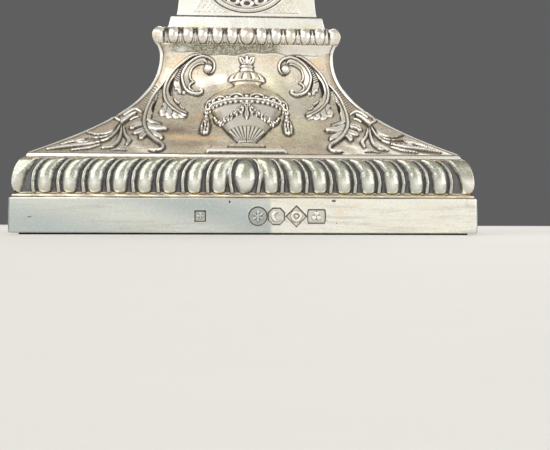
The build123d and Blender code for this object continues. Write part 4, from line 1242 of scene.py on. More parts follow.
def eggs(field, foot, head, pitch, count, half, tall, corner_from):
    """A row of eggs with thin darts between them and a smooth leaf at each corner."""
    t = (field.s - foot) / (head - foot)
    inside = (t > 0) & (t < 1)
    x = field.x
    row = ease(t / 0.06) * ease((1 - t) / 0.06)
    k = np.clip(np.round(x / pitch), -(count // 2), count // 2)
    wide = np.where(k == 0, 1.3 * half, half)
    q = (np.abs((x - k * pitch) / wide) ** 2.3 + np.abs((t - 0.52) / 0.5) ** 2.3) ** (1 / 2.3)
    egg = tall * dome(q) ** 0.9
    shell = 0.45 * tall * dome((q - 1.15) / 0.11) * (t < 0.5)
    between = np.abs(x / pitch - 0.5 - np.round(x / pitch - 0.5)) * pitch
    broad = x > BROAD_DARTS_FROM
    slim = np.where(broad, 0.26 + 0.22 * (1 - t), 0.09 + 0.2 * (1 - t))
    dart = 0.5 * tall * dome(between / slim) * ease((t - 0.05) / 0.1) * ease((0.8 + 0.15 * broad - t) / 0.3)
    raised = np.maximum.reduce([egg, shell, dart])
    corner = ease((np.abs(x) - corner_from + 1.1 * (t - 0.3) ** 2) / 0.7)
    leaf = 1.15 * tall * dome((t - 0.43) / 0.5) ** 0.8 * ease((np.abs(x) - corner_from + 0.4) / 1.4)
    raised = raised * (1 - corner) + leaf * corner
    field.height += np.where(inside, raised * row, 0)
    gap = (1 - ease((raised / tall - 0.1) / 0.55)) * (1 - corner)
    near = (0.25 + 0.75 * ease((t - 0.12) / 0.4)) * (1 - 0.4 * ease((t - 0.86) / 0.1))
    near = near * (t > -0.05) * (t < 1.06)
    ringed = bell(q - 1.04, 0.07) * (q < 1.3) * inside
    field.blacken((0.72 * gap * (1 - corner) + 0.6 * bell(corner - 0.4, 0.3) * inside) * near)
    field.blacken(0.75 * ringed * (1 - corner))
    # painted shadow: a dotted dark line along the eggs' tops, under the overhang of the step
    field.blacken(0.8 * bell(t - 1.0, 0.08) * (0.75 + 0.25 * np.sin(5 * x)))


def make_collar():
    low, high = COLLAR_LOW[2], COLLAR_HIGH[2]
    reach = COLLAR_HIGH[0]
    foot_point = (reach - 1.75, low + 0.2)
    head_point = (reach - 2.9, high - 0.35)
    profile = Profile(
        steps((reach, low), (-3.4, 0), (-1.9, 0), (-1.85, 0.05)),
        arc(foot_point, (reach - 1.1, low + 2.3), head_point),
        steps((STEP_HIGH[0], high), (1.05, -0.1), (0.95, 0), (0, 0)),
    )
    foot, head = profile.at(foot_point), profile.at(head_point)

    def relief(field):
        eggs(field, foot, head, pitch=4.25, count=11, half=1.55, tall=1.05, corner_from=reach - 3.3)
        field.stains["warm"] += 0.1 * ease(np.sin(field.x * 0.5 + 1.0))

    square_ring("egg_and_dart", "egg_and_dart_collar", profile, upright(reach - 3.4, low, high), 0.1,
                all_round(301, relief), COLLARED, shade=0.4)


# ---- plain step ----------------------------------------------------------------------------
def make_step():
    low, high = STEP_LOW[2], STEP_HIGH[2]
    reach = STEP_HIGH[0]
    profile = Profile(steps((reach, low), (-2.4, 0), (-0.05, 0), (-0.02, 0.15)),
                      steps((reach, high), (-0.7, -0.3), (-0.82, -0.06), (-1.0, 0), (-2.4, 0)))

    def relief(field):
        field.height += 0.03 * np.sin(field.x * 0.5 + 1.3) * np.sin(field.s)
        field.stain("straw", (-14.5, 3.2), (3.2, 1.1), 0.75)
        field.stain("tarnish_and_shade", (-14.5, 2.7), (2.6, 0.8), 0.45)
        field.stain("straw", (18.2, 3.2), (2.8, 1.2), 0.75)
        field.stain("tarnish_and_shade", (18.2, 2.8), (2.2, 0.9), 0.4)

    square_ring("step", "step_plinth", profile, upright(reach - 2.4, low, high), 0.2, all_round(90, relief),
                STEPPED)


# ---- pedestal block with its oval plaques ----------------------------------------------------
PLAQUE_Z = (PATERA_LOW[2] + PATERA_HIGH[2]) / 2 + 0.5
PLAQUE_HALF = ((PATERA_HIGH[1] - PATERA_LOW[1]) / 2, (PATERA_HIGH[2] - PATERA_LOW[2]) / 2)
FOOT_LINE = 0.66  # dark line where the block meets the step


def make_block():
    low, high = BLOCK_LOW[2], BLOCK_HIGH[2]
    middle = PLAQUE_Z - low
    edge = BLOCK_HIGH[0] - 0.02
    waist = BLOCK_HIGH[0] - 0.8
    profile = Profile(
        bezier((edge, low), (edge - 0.33, low + 2.0), (waist - 0.15, low + 5.5), (waist, low + 10.5),
               count=60),
        bezier((waist, low + 10.5), (waist - 0.15, high - 5.5), (edge - 0.33, high - 2.0), (edge, high),
               count=60),
    )

    def relief(field):
        x, s = np.abs(field.x), field.s
        seat = np.hypot(x / PLAQUE_HALF[0], (s - middle) / PLAQUE_HALF[1])
        groove = bell(seat - 1.03, 0.022)
        field.height -= 0.2 * groove
        field.blacken(0.85 * groove)
        field.blacken(0.9 * bell(s - FOOT_LINE, 0.24))
        # sunk and stippled spandrels in the four corners
        up = np.where(s < middle, s, 2 * middle - s)
        lean = (16.0 - x) - 0.6 * (up - 1.9)
        corner = np.minimum(np.minimum(up - 1.9, lean), (seat - 1.1) * 9)
        corner = np.minimum(corner, 9.3 - up)
        sunk = ease(corner / 0.25)
        grain = np.sin(field.x * 9.1 + 1.7 * np.sin(s * 5.3)) * np.sin(s * 8.7 + 1.9 * np.sin(field.x * 4.9))
        field.height += sunk * (0.04 * grain - 0.14) + 0.06 * bell(corner + 0.18, 0.14)
        field.blacken(sunk * np.clip(0.06 - 0.3 * grain, 0, 0.4))
        field.blacken(0.22 * bell(corner, 0.12))
        field.stains["warm"] += 0.2 * sunk * ease(np.sin(field.x * 0.8))

    four_sides("block", "block_panel", profile, 0.14, 301, relief, BLOCKED, shade=0.4)


def make_plaques():
    petals, proud = 12, 0.62
    rho, theta = disc_grid(60, 240)
    turn = np.abs(np.mod(theta * petals / math.tau + 0.5, 1) - 0.5) * 2  # 0 on a petal, 1 between two
    rim = 0.55 * dome((rho - 0.95) / 0.05)
    ring = 0.3 * dome((rho - 0.865) / 0.025)
    loop_at = np.hypot((rho - 0.715) / 0.13, turn / 0.9)
    loop = 0.62 * dome((loop_at - 0.78) / 0.3)
    stem = np.where((rho < 0.6) & (rho > 0.2), 0.5 * np.clip(1 - (turn / 0.75) ** 2, 0, 1) ** 0.5, 0)
    fold = ease((0.2 - turn) / 0.15) * (rho < 0.55) * (rho > 0.28)
    heart = 0.75 * dome(rho / 0.2)
    bead = 0.5 * dome((rho - 0.27) / 0.05)
    height = np.maximum.reduce([rim, ring, loop, stem - 0.2 * fold, heart, bead, 0 * rho])
    dark = np.clip(1 - height / 0.32, 0, 1) * (rho < 0.93)
    out = PATERA_HIGH[0] - proud + proud * np.clip(height / 0.75, -0.5, 1)
    points, faces, cap = boss_shell(PLAQUE_HALF, PLAQUE_Z, rho, theta, out, PATERA_LOW[0])
    marks = {"recess": dark.ravel()[-len(points):],
             "wear_and_sheen": np.clip(height * 1.4 - 0.4, 0, 1).ravel()[-len(points):]}
    for number, side in enumerate(SIDES):
        make_piece(f"plaque_{side}", turned(points, number), faces, [cap], marks, PLAQUED, "candlestick",
                   [f"patera_{side}"])


make_skirt()
make_gadroons()
make_panels()
make_collar()
make_step()
make_block()
make_plaques()


# ---- cornice over the block ------------------------------------------------------------------
def pearls(field, level, radius, pitch, tall):
    """A row of pearls along the piece in a dark channel."""
    across = field.x - np.round(field.x / pitch) * pitch
    bead = dome(np.hypot(across / (0.47 * pitch), (field.s - level) / radius))
    field.beaded(level, 1.15 * radius, bead, tall, 0.85, 0.6)


def make_cornice():
    low, high = CORNICE_LOW[2], CORNICE_HIGH[2]
    reach = CORNICE_HIGH[0]
    foot = reach - 1.4
    profile = Profile(
        steps((foot, low), (-2.0, 0), (0, 0), (0.05, 0.1), (0.1, 0.45)),
        arc(*steps((foot, low), (0.2, 0.5), (0.75, 1.4), (0.2, 2.3))),
        [(foot + 0.75, low + 2.45), (foot + 0.9, high - 0.15), (foot + 0.8, high), (foot - 3.0, high)],
    )
    level = profile.along[np.argmin(np.abs(profile.points[:, 0] - foot - 0.75))]

    def relief(field):
        pearls(field, level, radius=0.95, pitch=2.02, tall=0.6)

    square_ring("cornice", "block_cornice", profile, upright(foot - 3.0, low, high), 0.11,
                all_round(361, relief), BORDER, shade=0.4)


# ---- hollow shoulder with water leaves ---------------------------------------------------------
def leaf_fan(field, foot, tip, half, tall, veins):
    """A broad pointed leaf up the middle, with curved veins on the side where x is positive."""
    reach = tip - foot
    field.stroke([(0, foot), (0, foot + 0.5 * reach), (0, tip)], [0.5 * half, half, 0.8 * half, 0.15],
                 [0.5 * tall, tall, 0.8 * tall], "leaf")
    for k in range(1, veins + 1):
        up = foot + reach * (0.1 + 0.55 * k / veins)
        out = half * (1.05 - 0.35 * k / veins)
        vein = [(0, up - 0.16 * reach), (0.6 * out, up - 0.02 * reach), (out, up + 0.08 * reach)]
        field.stroke(vein, [0.3, 0.42, 0.16], 0.8 * tall)


def make_shoulder():
    low, high = SHOULDER_LOW[2], SHOULDER_HIGH[2]
    foot_reach = SHOULDER_HIGH[0]
    head_reach = foot_reach - 11.8
    profile = Profile(bezier((foot_reach, low), (foot_reach - 8.4, low + 2.6), (head_reach, high - 7.0),
                             (head_reach, high), count=200))
    length = profile.length

    def relief(field):
        half = Field(np.abs(field.x), field.s)
        line = half.stroke
        leaf_fan(half, 1.2, length - 2.2, half=2.5, tall=0.75, veins=4)
        line([(9.5, 1.2), (7.4, 4.5), (5.2, 8.0), (4.2, 11.5)], [0.9, 1.5, 1.4, 0.3],
             [0.4, 0.7, 0.65, 0.4], "leaf")
        line([(13.8, 1.0), (11.4, 3.6), (9.6, 6.2), (8.2, 9.0)], [0.7, 1.25, 1.1, 0.3],
             [0.4, 0.65, 0.6, 0.4], "leaf")
        line([(4.6, 1.0), (4.5, 3.4), (3.6, 6.4)], [0.8, 1.0, 0.3], 0.5, "leaf")
        line([(0, 0.7), (6, 0.7), (12, 0.7), (17, 0.7)], 0.25, 0.35)
        reach = profile.place(half.s)[0]
        near_hip = reach - half.x
        ridge = 0.3 * bell(near_hip, 0.5)
        held = ease(near_hip / 0.5)
        half.blacken(0.6 * bell(near_hip - 1.2, 0.35))
        field.height += np.maximum(half.height, ridge) * held + ridge * (1 - held)
        field.dark = half.dark
        field.stain("pale", (0, length - 2.0), (5, 2.5), 0.4)

    inside = Profile(profile.points - np.array([SHEET, 0]))
    square_ring("shoulder", "stem_shoulder", profile, inside, 0.13, all_round(221, relief), UPPER)


# ---- square bead at the foot of the stem --------------------------------------------------------
def make_stem_bead():
    low, high = BEAD_LOW[2], BEAD_HIGH[2]
    reach = BEAD_HIGH[0]
    foot = reach - 1.8
    start, end = (foot + 0.3, low + 0.6), (foot + 0.3, high - 0.6)
    profile = Profile(
        steps((foot, low), (-1.0, 0), (0.5, 0), (0.55, 0.1), (0.6, 0.5)),
        arc(start, (reach - 0.75, low + 2.05), end),
        steps((foot, high), (0.6, -0.5), (0.5, -0.1), (0.4, 0), (-1.2, 0)),
    )

    def relief(field):
        gadroons(field, profile.at(start), profile.at(end), pitch=2.3, count=3, tall=0.6, egg_half=1.05)

    square_ring("stem_collar", "stem_bead", profile, upright(foot - 1.3, low, high), 0.08,
                all_round(241, relief), BORDER, shade=0.3)


# ---- stem: framed panels with a drop of bellflowers ---------------------------------------------
def bellflower(field, top, size):
    """One husk hanging with its petals open downwards."""
    for route, widths, tall in (
        ([(0, 0), (0, -0.5), (0, -1)], [0.16, 0.22, 0.1], [0.5, 0.75, 0.5]),
        ([(0.06, -0.1), (0.24, -0.5), (0.44, -0.95)], [0.1, 0.17, 0.07], [0.4, 0.7, 0.4]),
    ):
        field.stroke(np.array([0, top]) + size * np.array(route), size * np.array(widths), tall, "leaf")
    field.boss((0, top), (0.14 * size, 0.12 * size), 0.6)


def make_stem():
    low, high = STEM_LOW[2], STEM_HIGH[2]
    head_reach = STEM_HIGH[0]
    profile = Profile([(head_reach - 3.4, low), (head_reach, high)])

    def relief(field):
        half = Field(np.abs(field.x), field.s)
        reach = profile.place(half.s)[0]
        near_hip = reach - half.x
        length = profile.length
        frame = np.minimum(near_hip - 2.1, np.minimum(half.s - 2.6, length - 2.6 - half.s))
        half.height -= 0.32 * ease((frame - 0.3) / 0.25)
        half.height += 0.28 * dome(frame / 0.3)
        half.height += 0.16 * bell(near_hip - 0.9, 0.22)
        half.blacken(0.55 * bell(frame - 0.45, 0.2) + 0.35 * bell(frame + 0.42, 0.14)
                     + 0.3 * bell(near_hip - 1.25, 0.12))
        bottom = half.height.copy()
        top = length - 5.0
        # ribbon bow, then a falling row of husks that grow smaller
        curl = steps((0, top), (0.1, -1.6), (1.2, -0.3), (2.7, 0.2), (3.3, -1.0), (2.0, -1.8), (0.3, -1.7))
        half.stroke(curl, [0.3, 0.42, 0.45, 0.42, 0.36, 0.3], 0.6)
        half.stroke(steps((0, top), (0.3, -2.0), (1.7, -3.2), (2.2, -5.0), (3.4, -6.6)),
                    [0.28, 0.36, 0.34, 0.2], 0.5)
        half.boss((0, top - 1.8), (0.75, 0.7), 0.8)
        at, size = top - 3.4, 6.8
        while at - size > 7.0:
            bellflower(half, at, size)
            at -= 1.04 * size
            size *= 0.93
        half.boss((0, at - 0.4), (0.5, 0.6), 0.6)
        half.stroke([(0, at - 0.8), (0, 4.4)], [0.3, 0.42, 0.18], [0.6, 0.5, 0.3])
        half.height = np.maximum(half.height, bottom)
        field.height += half.height * ease(near_hip / 0.3)
        field.dark = half.dark
        field.stain("tarnish_and_shade", (0, 8), (7, 7), 0.3)
        field.stain("warm", (2, 40), (5, 9), 0.25)

    four_sides("stem", "stem_panel", profile, 0.22, 121, relief, UPPER, shade=0.8)


# ---- capital --------------------------------------------------------------------------------------
def make_capital():
    low, high = CAPITAL_LOW[2], CAPITAL_HIGH[2]
    reach = CAPITAL_HIGH[0]
    frieze = reach - 2.4
    core = 3.5
    profile = Profile(
        arc(*steps((frieze, low), (0, 0), (0.75, 1.3), (0.1, 2.3))),
        steps((frieze, low), (0.25, 2.4), (0.2, 2.75), (-0.1, 2.85)),
        steps((frieze, high), (-0.1, -3.4), (0.2, -3.3), (0.25, -3.0)),
        arc(*steps((frieze, high), (0.25, -2.9), (0.95, -1.75), (1.95, -1.15))),
        [(reach - 0.2, high - 1.05), (reach - 0.12, high - 0.2), (reach - 0.25, high), (core, high)],
    )
    wall = STEM_HIGH[0] - SHEET
    inside = Profile([(wall, low), (wall, high - SHEET), (core, high - SHEET)])
    heights = (low + 1.3, low + 3.0, high - 3.5, high - 2.85, high - 1.2)
    astragal, frieze_foot, frieze_head, ovolo_foot, ovolo_head = (profile.up_to(z, 80) for z in heights)
    boss_half = (ROSETTES_HIGH[2] - ROSETTES_LOW[2]) / 2

    def relief(field):
        pearls(field, astragal, radius=0.85, pitch=1.72, tall=0.5)
        # short upright flutes either side of the boss
        x, s = np.abs(field.x), field.s
        t = (s - frieze_foot) / (frieze_head - frieze_foot)
        flutes = (t > 0.04) & (t < 0.96) & (x > boss_half + 0.7)
        wave = np.abs(np.cos((x - boss_half - 1.45) / 1.5 * math.pi))
        ends = np.clip(1 - np.abs(2 * t - 1) ** 6, 0, 1) ** 0.5
        cut = ease((wave - 0.35) / 0.4) * ends
        field.height -= np.where(flutes, 0.42 * cut, 0)
        field.blacken(np.where(flutes, 0.7 * ease((cut - 0.5) / 0.4), 0))
        # leaf tips under the top
        t = (s - ovolo_foot) / (ovolo_head - ovolo_foot)
        inside_leaf = (t > 0) & (t < 1)
        k = np.abs(field.x / 2.0 - np.round(field.x / 2.0)) * 2
        tip = 0.34 * dome(k / (0.95 * np.clip(t * 1.3, 0.05, 1)))
        field.height += np.where(inside_leaf, tip, 0)
        field.blacken(np.where(inside_leaf, 0.8 * (1 - ease(tip / 0.2)), 0))

    square_ring("capital_shell", "capital", profile, inside, 0.1, all_round(241, relief), UPPER, shade=0.5)


def make_rosettes():
    middle_z = (ROSETTES_LOW[2] + ROSETTES_HIGH[2]) / 2
    size = (ROSETTES_HIGH[2] - ROSETTES_LOW[2]) / 2
    back = CAPITAL_HIGH[0] - 2.6
    petals = 8
    rho, theta = disc_grid(26, 120)
    turn = np.abs(np.mod(theta * petals / math.tau + 0.5, 1) - 0.5) * 2  # 0 on a petal, 1 between two
    petal = 0.55 + 0.35 * np.clip(1 - turn**2, 0, 1) * ease((0.92 - rho) / 0.15)
    petal = np.where(rho < 0.9, petal, 0.3) - 0.2 * bell(turn - 1, 0.25)
    height = np.maximum.reduce([petal, dome(rho / 0.27), 0.75 * dome((rho - 0.95) / 0.05)])
    gaps = 0.9 * bell(turn - 1, 0.3) * (rho < 0.9) * (rho > 0.27)
    dark = np.clip(gaps + bell(rho - 0.3, 0.05) + bell(rho - 0.9, 0.03), 0, 1)
    out = back + (ROSETTES_HIGH[0] - back) * np.clip(height, 0, 1)
    points, faces, cap = boss_shell((size, size), middle_z, rho, theta, out, back)
    every_point, every_face, every_cap = [], [], []
    for number in range(len(SIDES)):
        shift = number * len(points)
        every_point.append(turned(points, number))
        every_face += [tuple(corner + shift for corner in corners) for corners in faces]
        every_cap.append([corner + shift for corner in cap])
    marks = {"recess": np.tile(dark.ravel()[-len(points):], len(SIDES)),
             "wear_and_sheen": np.tile(height.ravel()[-len(points):] * 0.8, len(SIDES))}
    make_piece("rosettes", np.concatenate(every_point), every_face, every_cap, marks, BORDER, "candlestick",
               ["frieze_rosettes"])


# ---- vase sconce ------------------------------------------------------------------------------------
def around(field, count):
    """Place across the nearest of a number of bays round a turned piece, from -0.5 to 0.5."""
    return np.mod(field.x * count / math.tau + 0.5, 1) - 0.5


def bead_ring(field, count, level, radii, reach, tall, dark, edge):
    """Beads all round a turned piece, their radii given in bays across and millimetres up."""
    bead = dome(np.hypot(around(field, count) / radii[0], (field.s - level) / radii[1]))
    field.beaded(level, reach, bead, tall, dark, edge)


def lobe_ring(field, count, low, high, fades, power, tall, dark):
    """Upright lobes all round a turned piece, fading in and out at their ends."""
    lobe = np.clip(1 - np.abs(2 * around(field, count)) ** power, 0, 1) ** 0.5
    ends = ease((field.s - low) / fades[0]) * ease((high - field.s) / fades[1])
    field.height += tall * lobe * ends
    field.blacken(dark * (1 - ease(lobe / 0.5)) * ends)


def make_sconce_foot():
    low, high = FOOT_LOW[2], FOOT_HIGH[2]
    wide, neck = FOOT_HIGH[0], 4.4
    outer = Profile(
        [(wide, low), (wide, low + 1.15)],
        bezier((wide - 0.5, low + 1.25), (wide - 4.5, low + 1.65), (neck, low + 3.0), (neck, low + 6.5),
               count=90),
        [(neck + 0.4, low + 6.65)],
        arc(*steps((neck, low), (0.35, 6.75), (1.35, 8.2), (0.35, 9.55))),
        [(neck + 0.35, low + 9.65), (neck, high)],
    )
    fan_head, knop = outer.up_to(low + 5.6, 90), outer.up_to(low + 8.2)

    def relief(field, radius):
        lobe_ring(field, 24, 2.3, fan_head, (0.6, 1.0), 2.4, 0.5 * radius / 12, 0.9)
        bead_ring(field, 18, knop, (0.46, 1.35), 1.4, 0.3, 0.8, 0.5)
        field.blacken(0.5 * bell(field.s - 1.5, 0.3))

    lathe("sconce_base", "sconce_foot", outer, upright(neck - 1.6, low, high), 0.1, 288, relief, UPPER)


# half a swag, from a bow to its middle
SWAG = [(14.1, -0.2), (12.0, -2.4), (8.6, -5.2), (4.4, -6.6), (0, -7.0)]


def bowl_swags(field, top):
    """Laurel swags looped between bows, with a tassel under each bow."""
    bows, girth = 4, 18.0  # girth is the radius that the swags are measured at
    bay = around(field, bows) * math.tau / bows * girth
    swag = Field(np.abs(bay), field.s - top)
    swag.stroke(SWAG, [0.35, 0.6, 0.85, 1.0, 1.05], 0.55)
    route = smooth_route(SWAG, 5)
    for k in range(1, len(route) - 1):
        at, way = route[k], route[k + 1] - route[k - 1]
        way = way / np.hypot(*way)
        size = 0.6 + 0.5 * k / len(route)
        for side in (-1, 1):
            over = side * np.array([-way[1], way[0]])
            leaf = [at, at + size * (0.4 * way + 0.55 * over), at + size * (way + 0.95 * over)]
            swag.stroke(leaf, [0.26, 0.36, 0.14], 0.85)
    swag.stroke([(14.14, -1.0), (14.14, -4.0), (14.14, -8.0)], [0.5, 0.85, 1.0], 0.8, "leaf")
    swag.stroke([(13.4, -1.2), (12.9, -4.2), (12.8, -7.4)], [0.35, 0.6, 0.5], 0.65, "leaf")
    swag.boss((14.14, -0.3), (1.0, 1.0), 0.95)
    swag.stroke([(13.6, 0.2), (12.4, 1.2), (11.3, 0.6), (12.4, -0.4), (13.6, -0.2)],
                [0.3, 0.36, 0.34, 0.3, 0.26], 0.65)
    field.height = np.maximum(field.height, swag.height)


def make_bowl():
    low, high = BOWL_LOW[2], BOWL_HIGH[2]
    wide, neck, hole = BOWL_HIGH[0], 4.4, 0.4
    skin = bezier((neck, low), (neck + 8.6, low + 1.6), (wide, high - 10.4), (wide, high), count=240)
    outer = Profile([(hole, low)], skin)
    inner = Profile(bezier((hole, low + SHEET), (neck + 8.2, low + 1.6 + SHEET), (wide - SHEET, high - 10.4),
                           (wide - SHEET, high), count=60))
    start, length = neck - hole, outer.length

    def relief(field, radius):
        s = field.s
        # flutes that fan up from the foot, as on the base's vase
        head = start + 0.50 * (length - start)
        wave = np.abs(np.cos(around(field, 28) * math.pi))
        ends = ease((s - start - 0.6) / 0.8) * ease((head - s) / 0.7)
        field.height += (0.55 * wave**0.7 - 0.15) * ends * np.clip(radius / 16, 0.3, 1)
        field.blacken(0.9 * (1 - ease(wave / 0.5)) * ends)
        field.blacken(0.5 * bell(s - head - 0.1, 0.25))
        bowl_swags(field, length - 2.2)
        field.blacken(0.85 * bell(s - (length - 0.3), 0.3))

    lathe("vase_bowl", "sconce_bowl", outer, inner, 0.16, 640, relief, UPPER)


def make_girdle():
    low, high = GIRDLE_LOW[2], GIRDLE_HIGH[2]
    wide = GIRDLE_HIGH[0]
    outer = Profile(
        steps((wide, low), (-0.7, 0), (-0.35, 0.1), (-0.3, 0.45), (-0.6, 0.55)),
        arc(*steps((wide, low), (-0.75, 0.6), (-0.35, 1.5), (-0.75, 2.4))),
        steps((wide, high), (-0.6, -0.5), (-0.3, -0.4), (-0.4, -0.1), (-1.0, 0)),
    )
    middle = outer.up_to(low + 1.5)

    def relief(field, radius):
        bead_ring(field, 60, middle, (0.47, 0.88), 0.95, 0.42, 0.9, 0.6)

    lathe("vase_girdle", "sconce_girdle", outer, upright(wide - 2.2, low, high), 0.08, 960, relief, BORDER)


def make_neck():
    low, high = NECK_LOW[2], NECK_HIGH[2]
    foot, waist, rim = BOWL_HIGH[0] - 0.3, 14.2, LINER_HIGH[0]
    waist_z = low + 10.5

    def skin(inset):
        """The neck's hollow line, then its flare up to the rim."""
        hollow = bezier((foot, low), (foot - 0.2, low + 4.6), (waist, waist_z - 3.8), (waist, waist_z),
                        count=90)
        flare = bezier((waist, waist_z), (waist, waist_z + 4.2), (rim - 0.4, high - 3.0), (rim, high),
                       count=90)
        return Profile(np.vstack([hollow, flare]) - np.array([inset, 0]))

    outer = skin(0.0)
    top, collar, leaf_head = outer.length, outer.up_to(waist_z), outer.up_to(waist_z - 1.6, 90)

    def relief(field, radius):
        s = field.s
        # a wreath of scallops and dots over the girdle, then plain upright leaves
        bay = around(field, 20)
        arch = np.hypot(bay / 0.46, (s - 0.3) / 3.2)
        dot = dome(np.hypot(bay / 0.16, (s - 1.5) / 0.75))
        field.height += 0.35 * dome((arch - 0.88) / 0.12) * (s > 0.2)
        field.height += 0.4 * dot
        field.blacken(0.85 * (1 - ease(dot / 0.5)) * (arch < 0.8) * (s > 0.1))
        leaf_t = np.clip((s - 1.8) / (leaf_head - 1.8), 0, 1)
        leaf = 0.4 * dome((0.5 - np.abs(bay)) / (0.03 + 0.24 * (1 - leaf_t**2)))
        field.height += leaf * (s > 1.8) * (s < leaf_head) * (arch > 1.0)
        field.height += 0.38 * dome((s - collar) / 0.55)
        field.blacken(0.6 * bell(s - collar + 0.75, 0.2) + 0.6 * bell(s - collar - 0.75, 0.2))
        lobe_ring(field, 32, top - 3.6, top - 0.4, (0.6, 0.4), 2.2, 0.32, 0.85)

    lathe("vase_neck", "sconce_neck", outer, skin(SHEET), 0.12, 560, relief, UPPER)


# ---- nozzle --------------------------------------------------------------------------------------------
def make_cup():
    low, high = CUP_LOW[2], CUP_HIGH[2]
    lip = CUP_HIGH[0]
    wall, bore, hole = lip - 1.2, lip - 2.1, 0.4
    outer = Profile(
        [(hole, low), (wall - 0.4, low), (wall - 0.1, low + 0.1), (wall, low + 0.4)],
        arc((wall, high - 2.2), (lip, high - 1.1), (wall - 0.2, high - 0.02)),
        [(wall - 0.45, high), (bore + 0.15, high - 0.1), (bore, high - 0.3), (bore, high - 0.6)],
    )
    inner = Profile(steps((bore, low + SHEET), (hole - bore, 0), (-0.3, 0), (0, 0.3)), [(bore, high - 0.6)])

    def relief(field, radius):
        level = outer.along[np.argmin(np.abs(outer.points[:, 1] - (high - 2.45)))]
        field.height += 0.12 * dome((field.s - level) / 0.25)
        field.blacken(0.6 * bell(field.s - level - 0.35, 0.12))

    lathe("candle_cup", "nozzle_cup", outer, inner, 0.2, 256, relief, PLAIN, "nozzle")


def make_nozzle_border():
    low, high = RIM_LOW[2], RIM_HIGH[2]
    edge = PAN_HIGH[0]
    profile = Profile(
        steps((edge, low), (0.05, 0), (0.45, 0.1)),
        arc((edge + 0.45, low + 0.15), (RIM_HIGH[0] - 0.75, (low + high) / 2), (edge + 0.45, high - 0.15)),
        steps((edge, high), (0.35, -0.05), (0.05, 0)),
    )
    start, end = profile.along[2], profile.along[-3]

    def relief(field):
        gadroons(field, start, end, pitch=2.75, count=7, tall=0.72, egg_half=1.3)

    four_sides("rim_gadroons", "nozzle_border", profile, 0.07, 401, relief, BORDER, "nozzle",
               shade=0.3, inside=upright(edge + 0.02, low, high))


make_cornice()
make_shoulder()
make_stem_bead()
make_stem()
make_capital()
make_rosettes()
make_sconce_foot()
make_bowl()
make_girdle()
make_neck()
make_cup()
make_nozzle_border()


# ---- parts kept as the frame has them ----------------------------------------------------------------
def recoat(node, material):
    """Gives a kept CAD node its finish."""
    slots = frame["nodes"][node].material_slots
    if not slots:
        frame["nodes"][node].data.materials.append(material)
    for slot in slots:
        slot.material = material


for kept_node, coat in (("felt_pad", FELT), ("base_board", WOOD), ("base_filling", PITCH),
                        ("stem_filling", PITCH), ("steel_rod", IRON), ("sconce_liner", INSIDE),
                        ("nozzle_pan", PLAIN)):
    recoat(kept_node, coat)


# ---- floor, light and camera -----------------------------------------------------------------
FLOOR_RADIUS = 6.0
FLOOR_SIDES = 96
BACKDROP = (0.115, 0.115, 0.118, 1.0)  # what the camera sees behind the candlestick
FOCAL_LENGTH, SENSOR_WIDTH, NEAREST = 42.5, 36.0, 0.002
CAMERA_PLACE = (0, -0.2149, 0.0024)
CAMERA_YAW, CAMERA_ROLL = math.radians(2.52), 0.0025
SKY = (  # colours of the surroundings from the horizon to overhead
    (0.0, (1.0, 0.99, 0.965)),
    (0.3, (0.97, 0.95, 0.91)),
    (0.6, (0.87, 0.84, 0.78)),
    (0.8, (0.82, 0.79, 0.735)),
    (1.0, (0.78, 0.76, 0.72)),
)
LIGHTS = (  # name, place, aim, size and power
    ("key", (-0.9, -0.9, 1.1), (0, 0, 0.06), (1.5, 1.5), 11),
    ("fill", (1.3, -0.9, 0.7), (0, 0, 0.06), (1.6, 1.2), 6),
    ("rear", (0.3, 1.5, 1.2), (0, 0, 0.1), (1.4, 1.0), 9),
)


def make_floor():
    """A pale matte sheet under the candlestick."""
    angle = np.linspace(0, math.tau, FLOOR_SIDES, endpoint=False)
    points = [(FLOOR_RADIUS * math.cos(a), FLOOR_RADIUS * math.sin(a), 0.0) for a in angle]
    mesh = bpy.data.meshes.new("floor")
    mesh.from_pydata(points, [], [list(range(FLOOR_SIDES))])
    n = Nodes("floor_paper")
    tone = n.spread(n.noise(6, 3, 0.5), 0.3, 0.7)
    paper = n.mix(tone, (0.76, 0.75, 0.73), (0.82, 0.81, 0.79))
    n.finish(paper, 0.8, 0.0, n.bump(n.noise(400, 3, 0.5), 0.0001))
    mesh.materials.append(n.material)
    floor = bpy.data.objects.new("floor", mesh)
    bpy.context.scene.collection.objects.link(floor)


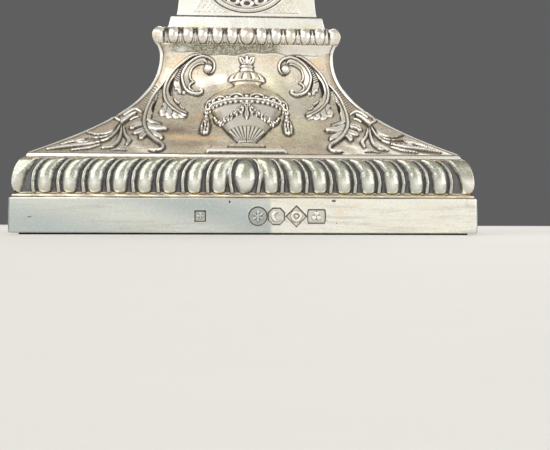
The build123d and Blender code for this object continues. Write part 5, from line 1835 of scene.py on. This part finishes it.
def make_world():
    """Soft surroundings, palest near the horizon and brightest in front, with a plain grey backdrop."""
    world = bpy.data.worlds.new("studio")
    world.use_nodes = True
    bpy.context.scene.world = world
    tree = world.node_tree
    surroundings = tree.nodes["Background"]
    where = tree.nodes.new("ShaderNodeTexCoord").outputs["Generated"]
    split = tree.nodes.new("ShaderNodeSeparateXYZ")
    tree.links.new(where, split.inputs["Vector"])
    ramp = tree.nodes.new("ShaderNodeValToRGB")
    tree.links.new(split.outputs["Z"], ramp.inputs["Fac"])
    elements = ramp.color_ramp.elements
    while len(elements) < len(SKY):
        elements.new(0.5)
    for element, (place, colour) in zip(elements, SKY):
        element.position = place
        element.color = (*colour, 1.0)
    tree.links.new(ramp.outputs["Color"], surroundings.inputs["Color"])
    sideways = tree.nodes.new("ShaderNodeMapRange")
    sideways.interpolation_type = "SMOOTHSTEP"
    tree.links.new(split.outputs["Y"], sideways.inputs["Value"])
    for label, number in (("From Min", -0.85), ("From Max", 0.3), ("To Min", 0.98), ("To Max", 0.62)):
        sideways.inputs[label].default_value = number
    tree.links.new(sideways.outputs["Result"], surroundings.inputs["Strength"])
    backdrop = tree.nodes.new("ShaderNodeBackground")
    backdrop.inputs["Color"].default_value = BACKDROP
    chooser = tree.nodes.new("ShaderNodeMixShader")
    tree.links.new(tree.nodes.new("ShaderNodeLightPath").outputs["Is Camera Ray"], chooser.inputs["Fac"])
    tree.links.new(surroundings.outputs["Background"], chooser.inputs[1])
    tree.links.new(backdrop.outputs["Background"], chooser.inputs[2])
    tree.links.new(chooser.outputs["Shader"], tree.nodes["World Output"].inputs["Surface"])


def make_light(name, place, aim, size, power):
    data = bpy.data.lights.new(name, "AREA")
    data.shape = "RECTANGLE"
    data.size, data.size_y = size
    data.energy = power
    lamp = bpy.data.objects.new(name, data)
    bpy.context.scene.collection.objects.link(lamp)
    lamp.location = place
    lamp.rotation_euler = (Vector(aim) - Vector(place)).to_track_quat("-Z", "Y").to_euler()


def make_camera():
    data = bpy.data.cameras.new("camera")
    data.lens = FOCAL_LENGTH
    data.sensor_width = SENSOR_WIDTH
    data.clip_start = NEAREST
    camera = bpy.data.objects.new("camera", data)
    bpy.context.scene.collection.objects.link(camera)
    ahead = Vector((math.sin(CAMERA_YAW), math.cos(CAMERA_YAW), 0))
    right = Vector((math.cos(CAMERA_YAW), -math.sin(CAMERA_YAW), 0))
    up = Vector((0, 0, 1))
    x = math.cos(CAMERA_ROLL) * right + math.sin(CAMERA_ROLL) * up
    y = -math.sin(CAMERA_ROLL) * right + math.cos(CAMERA_ROLL) * up
    turn = Matrix((x, y, -ahead)).transposed().to_4x4()
    camera.matrix_world = Matrix.Translation(CAMERA_PLACE) @ turn
    bpy.context.scene.camera = camera


make_floor()
make_world()
for light in LIGHTS:
    make_light(*light)
make_camera()
bpy.context.scene.view_settings.view_transform = "Standard"
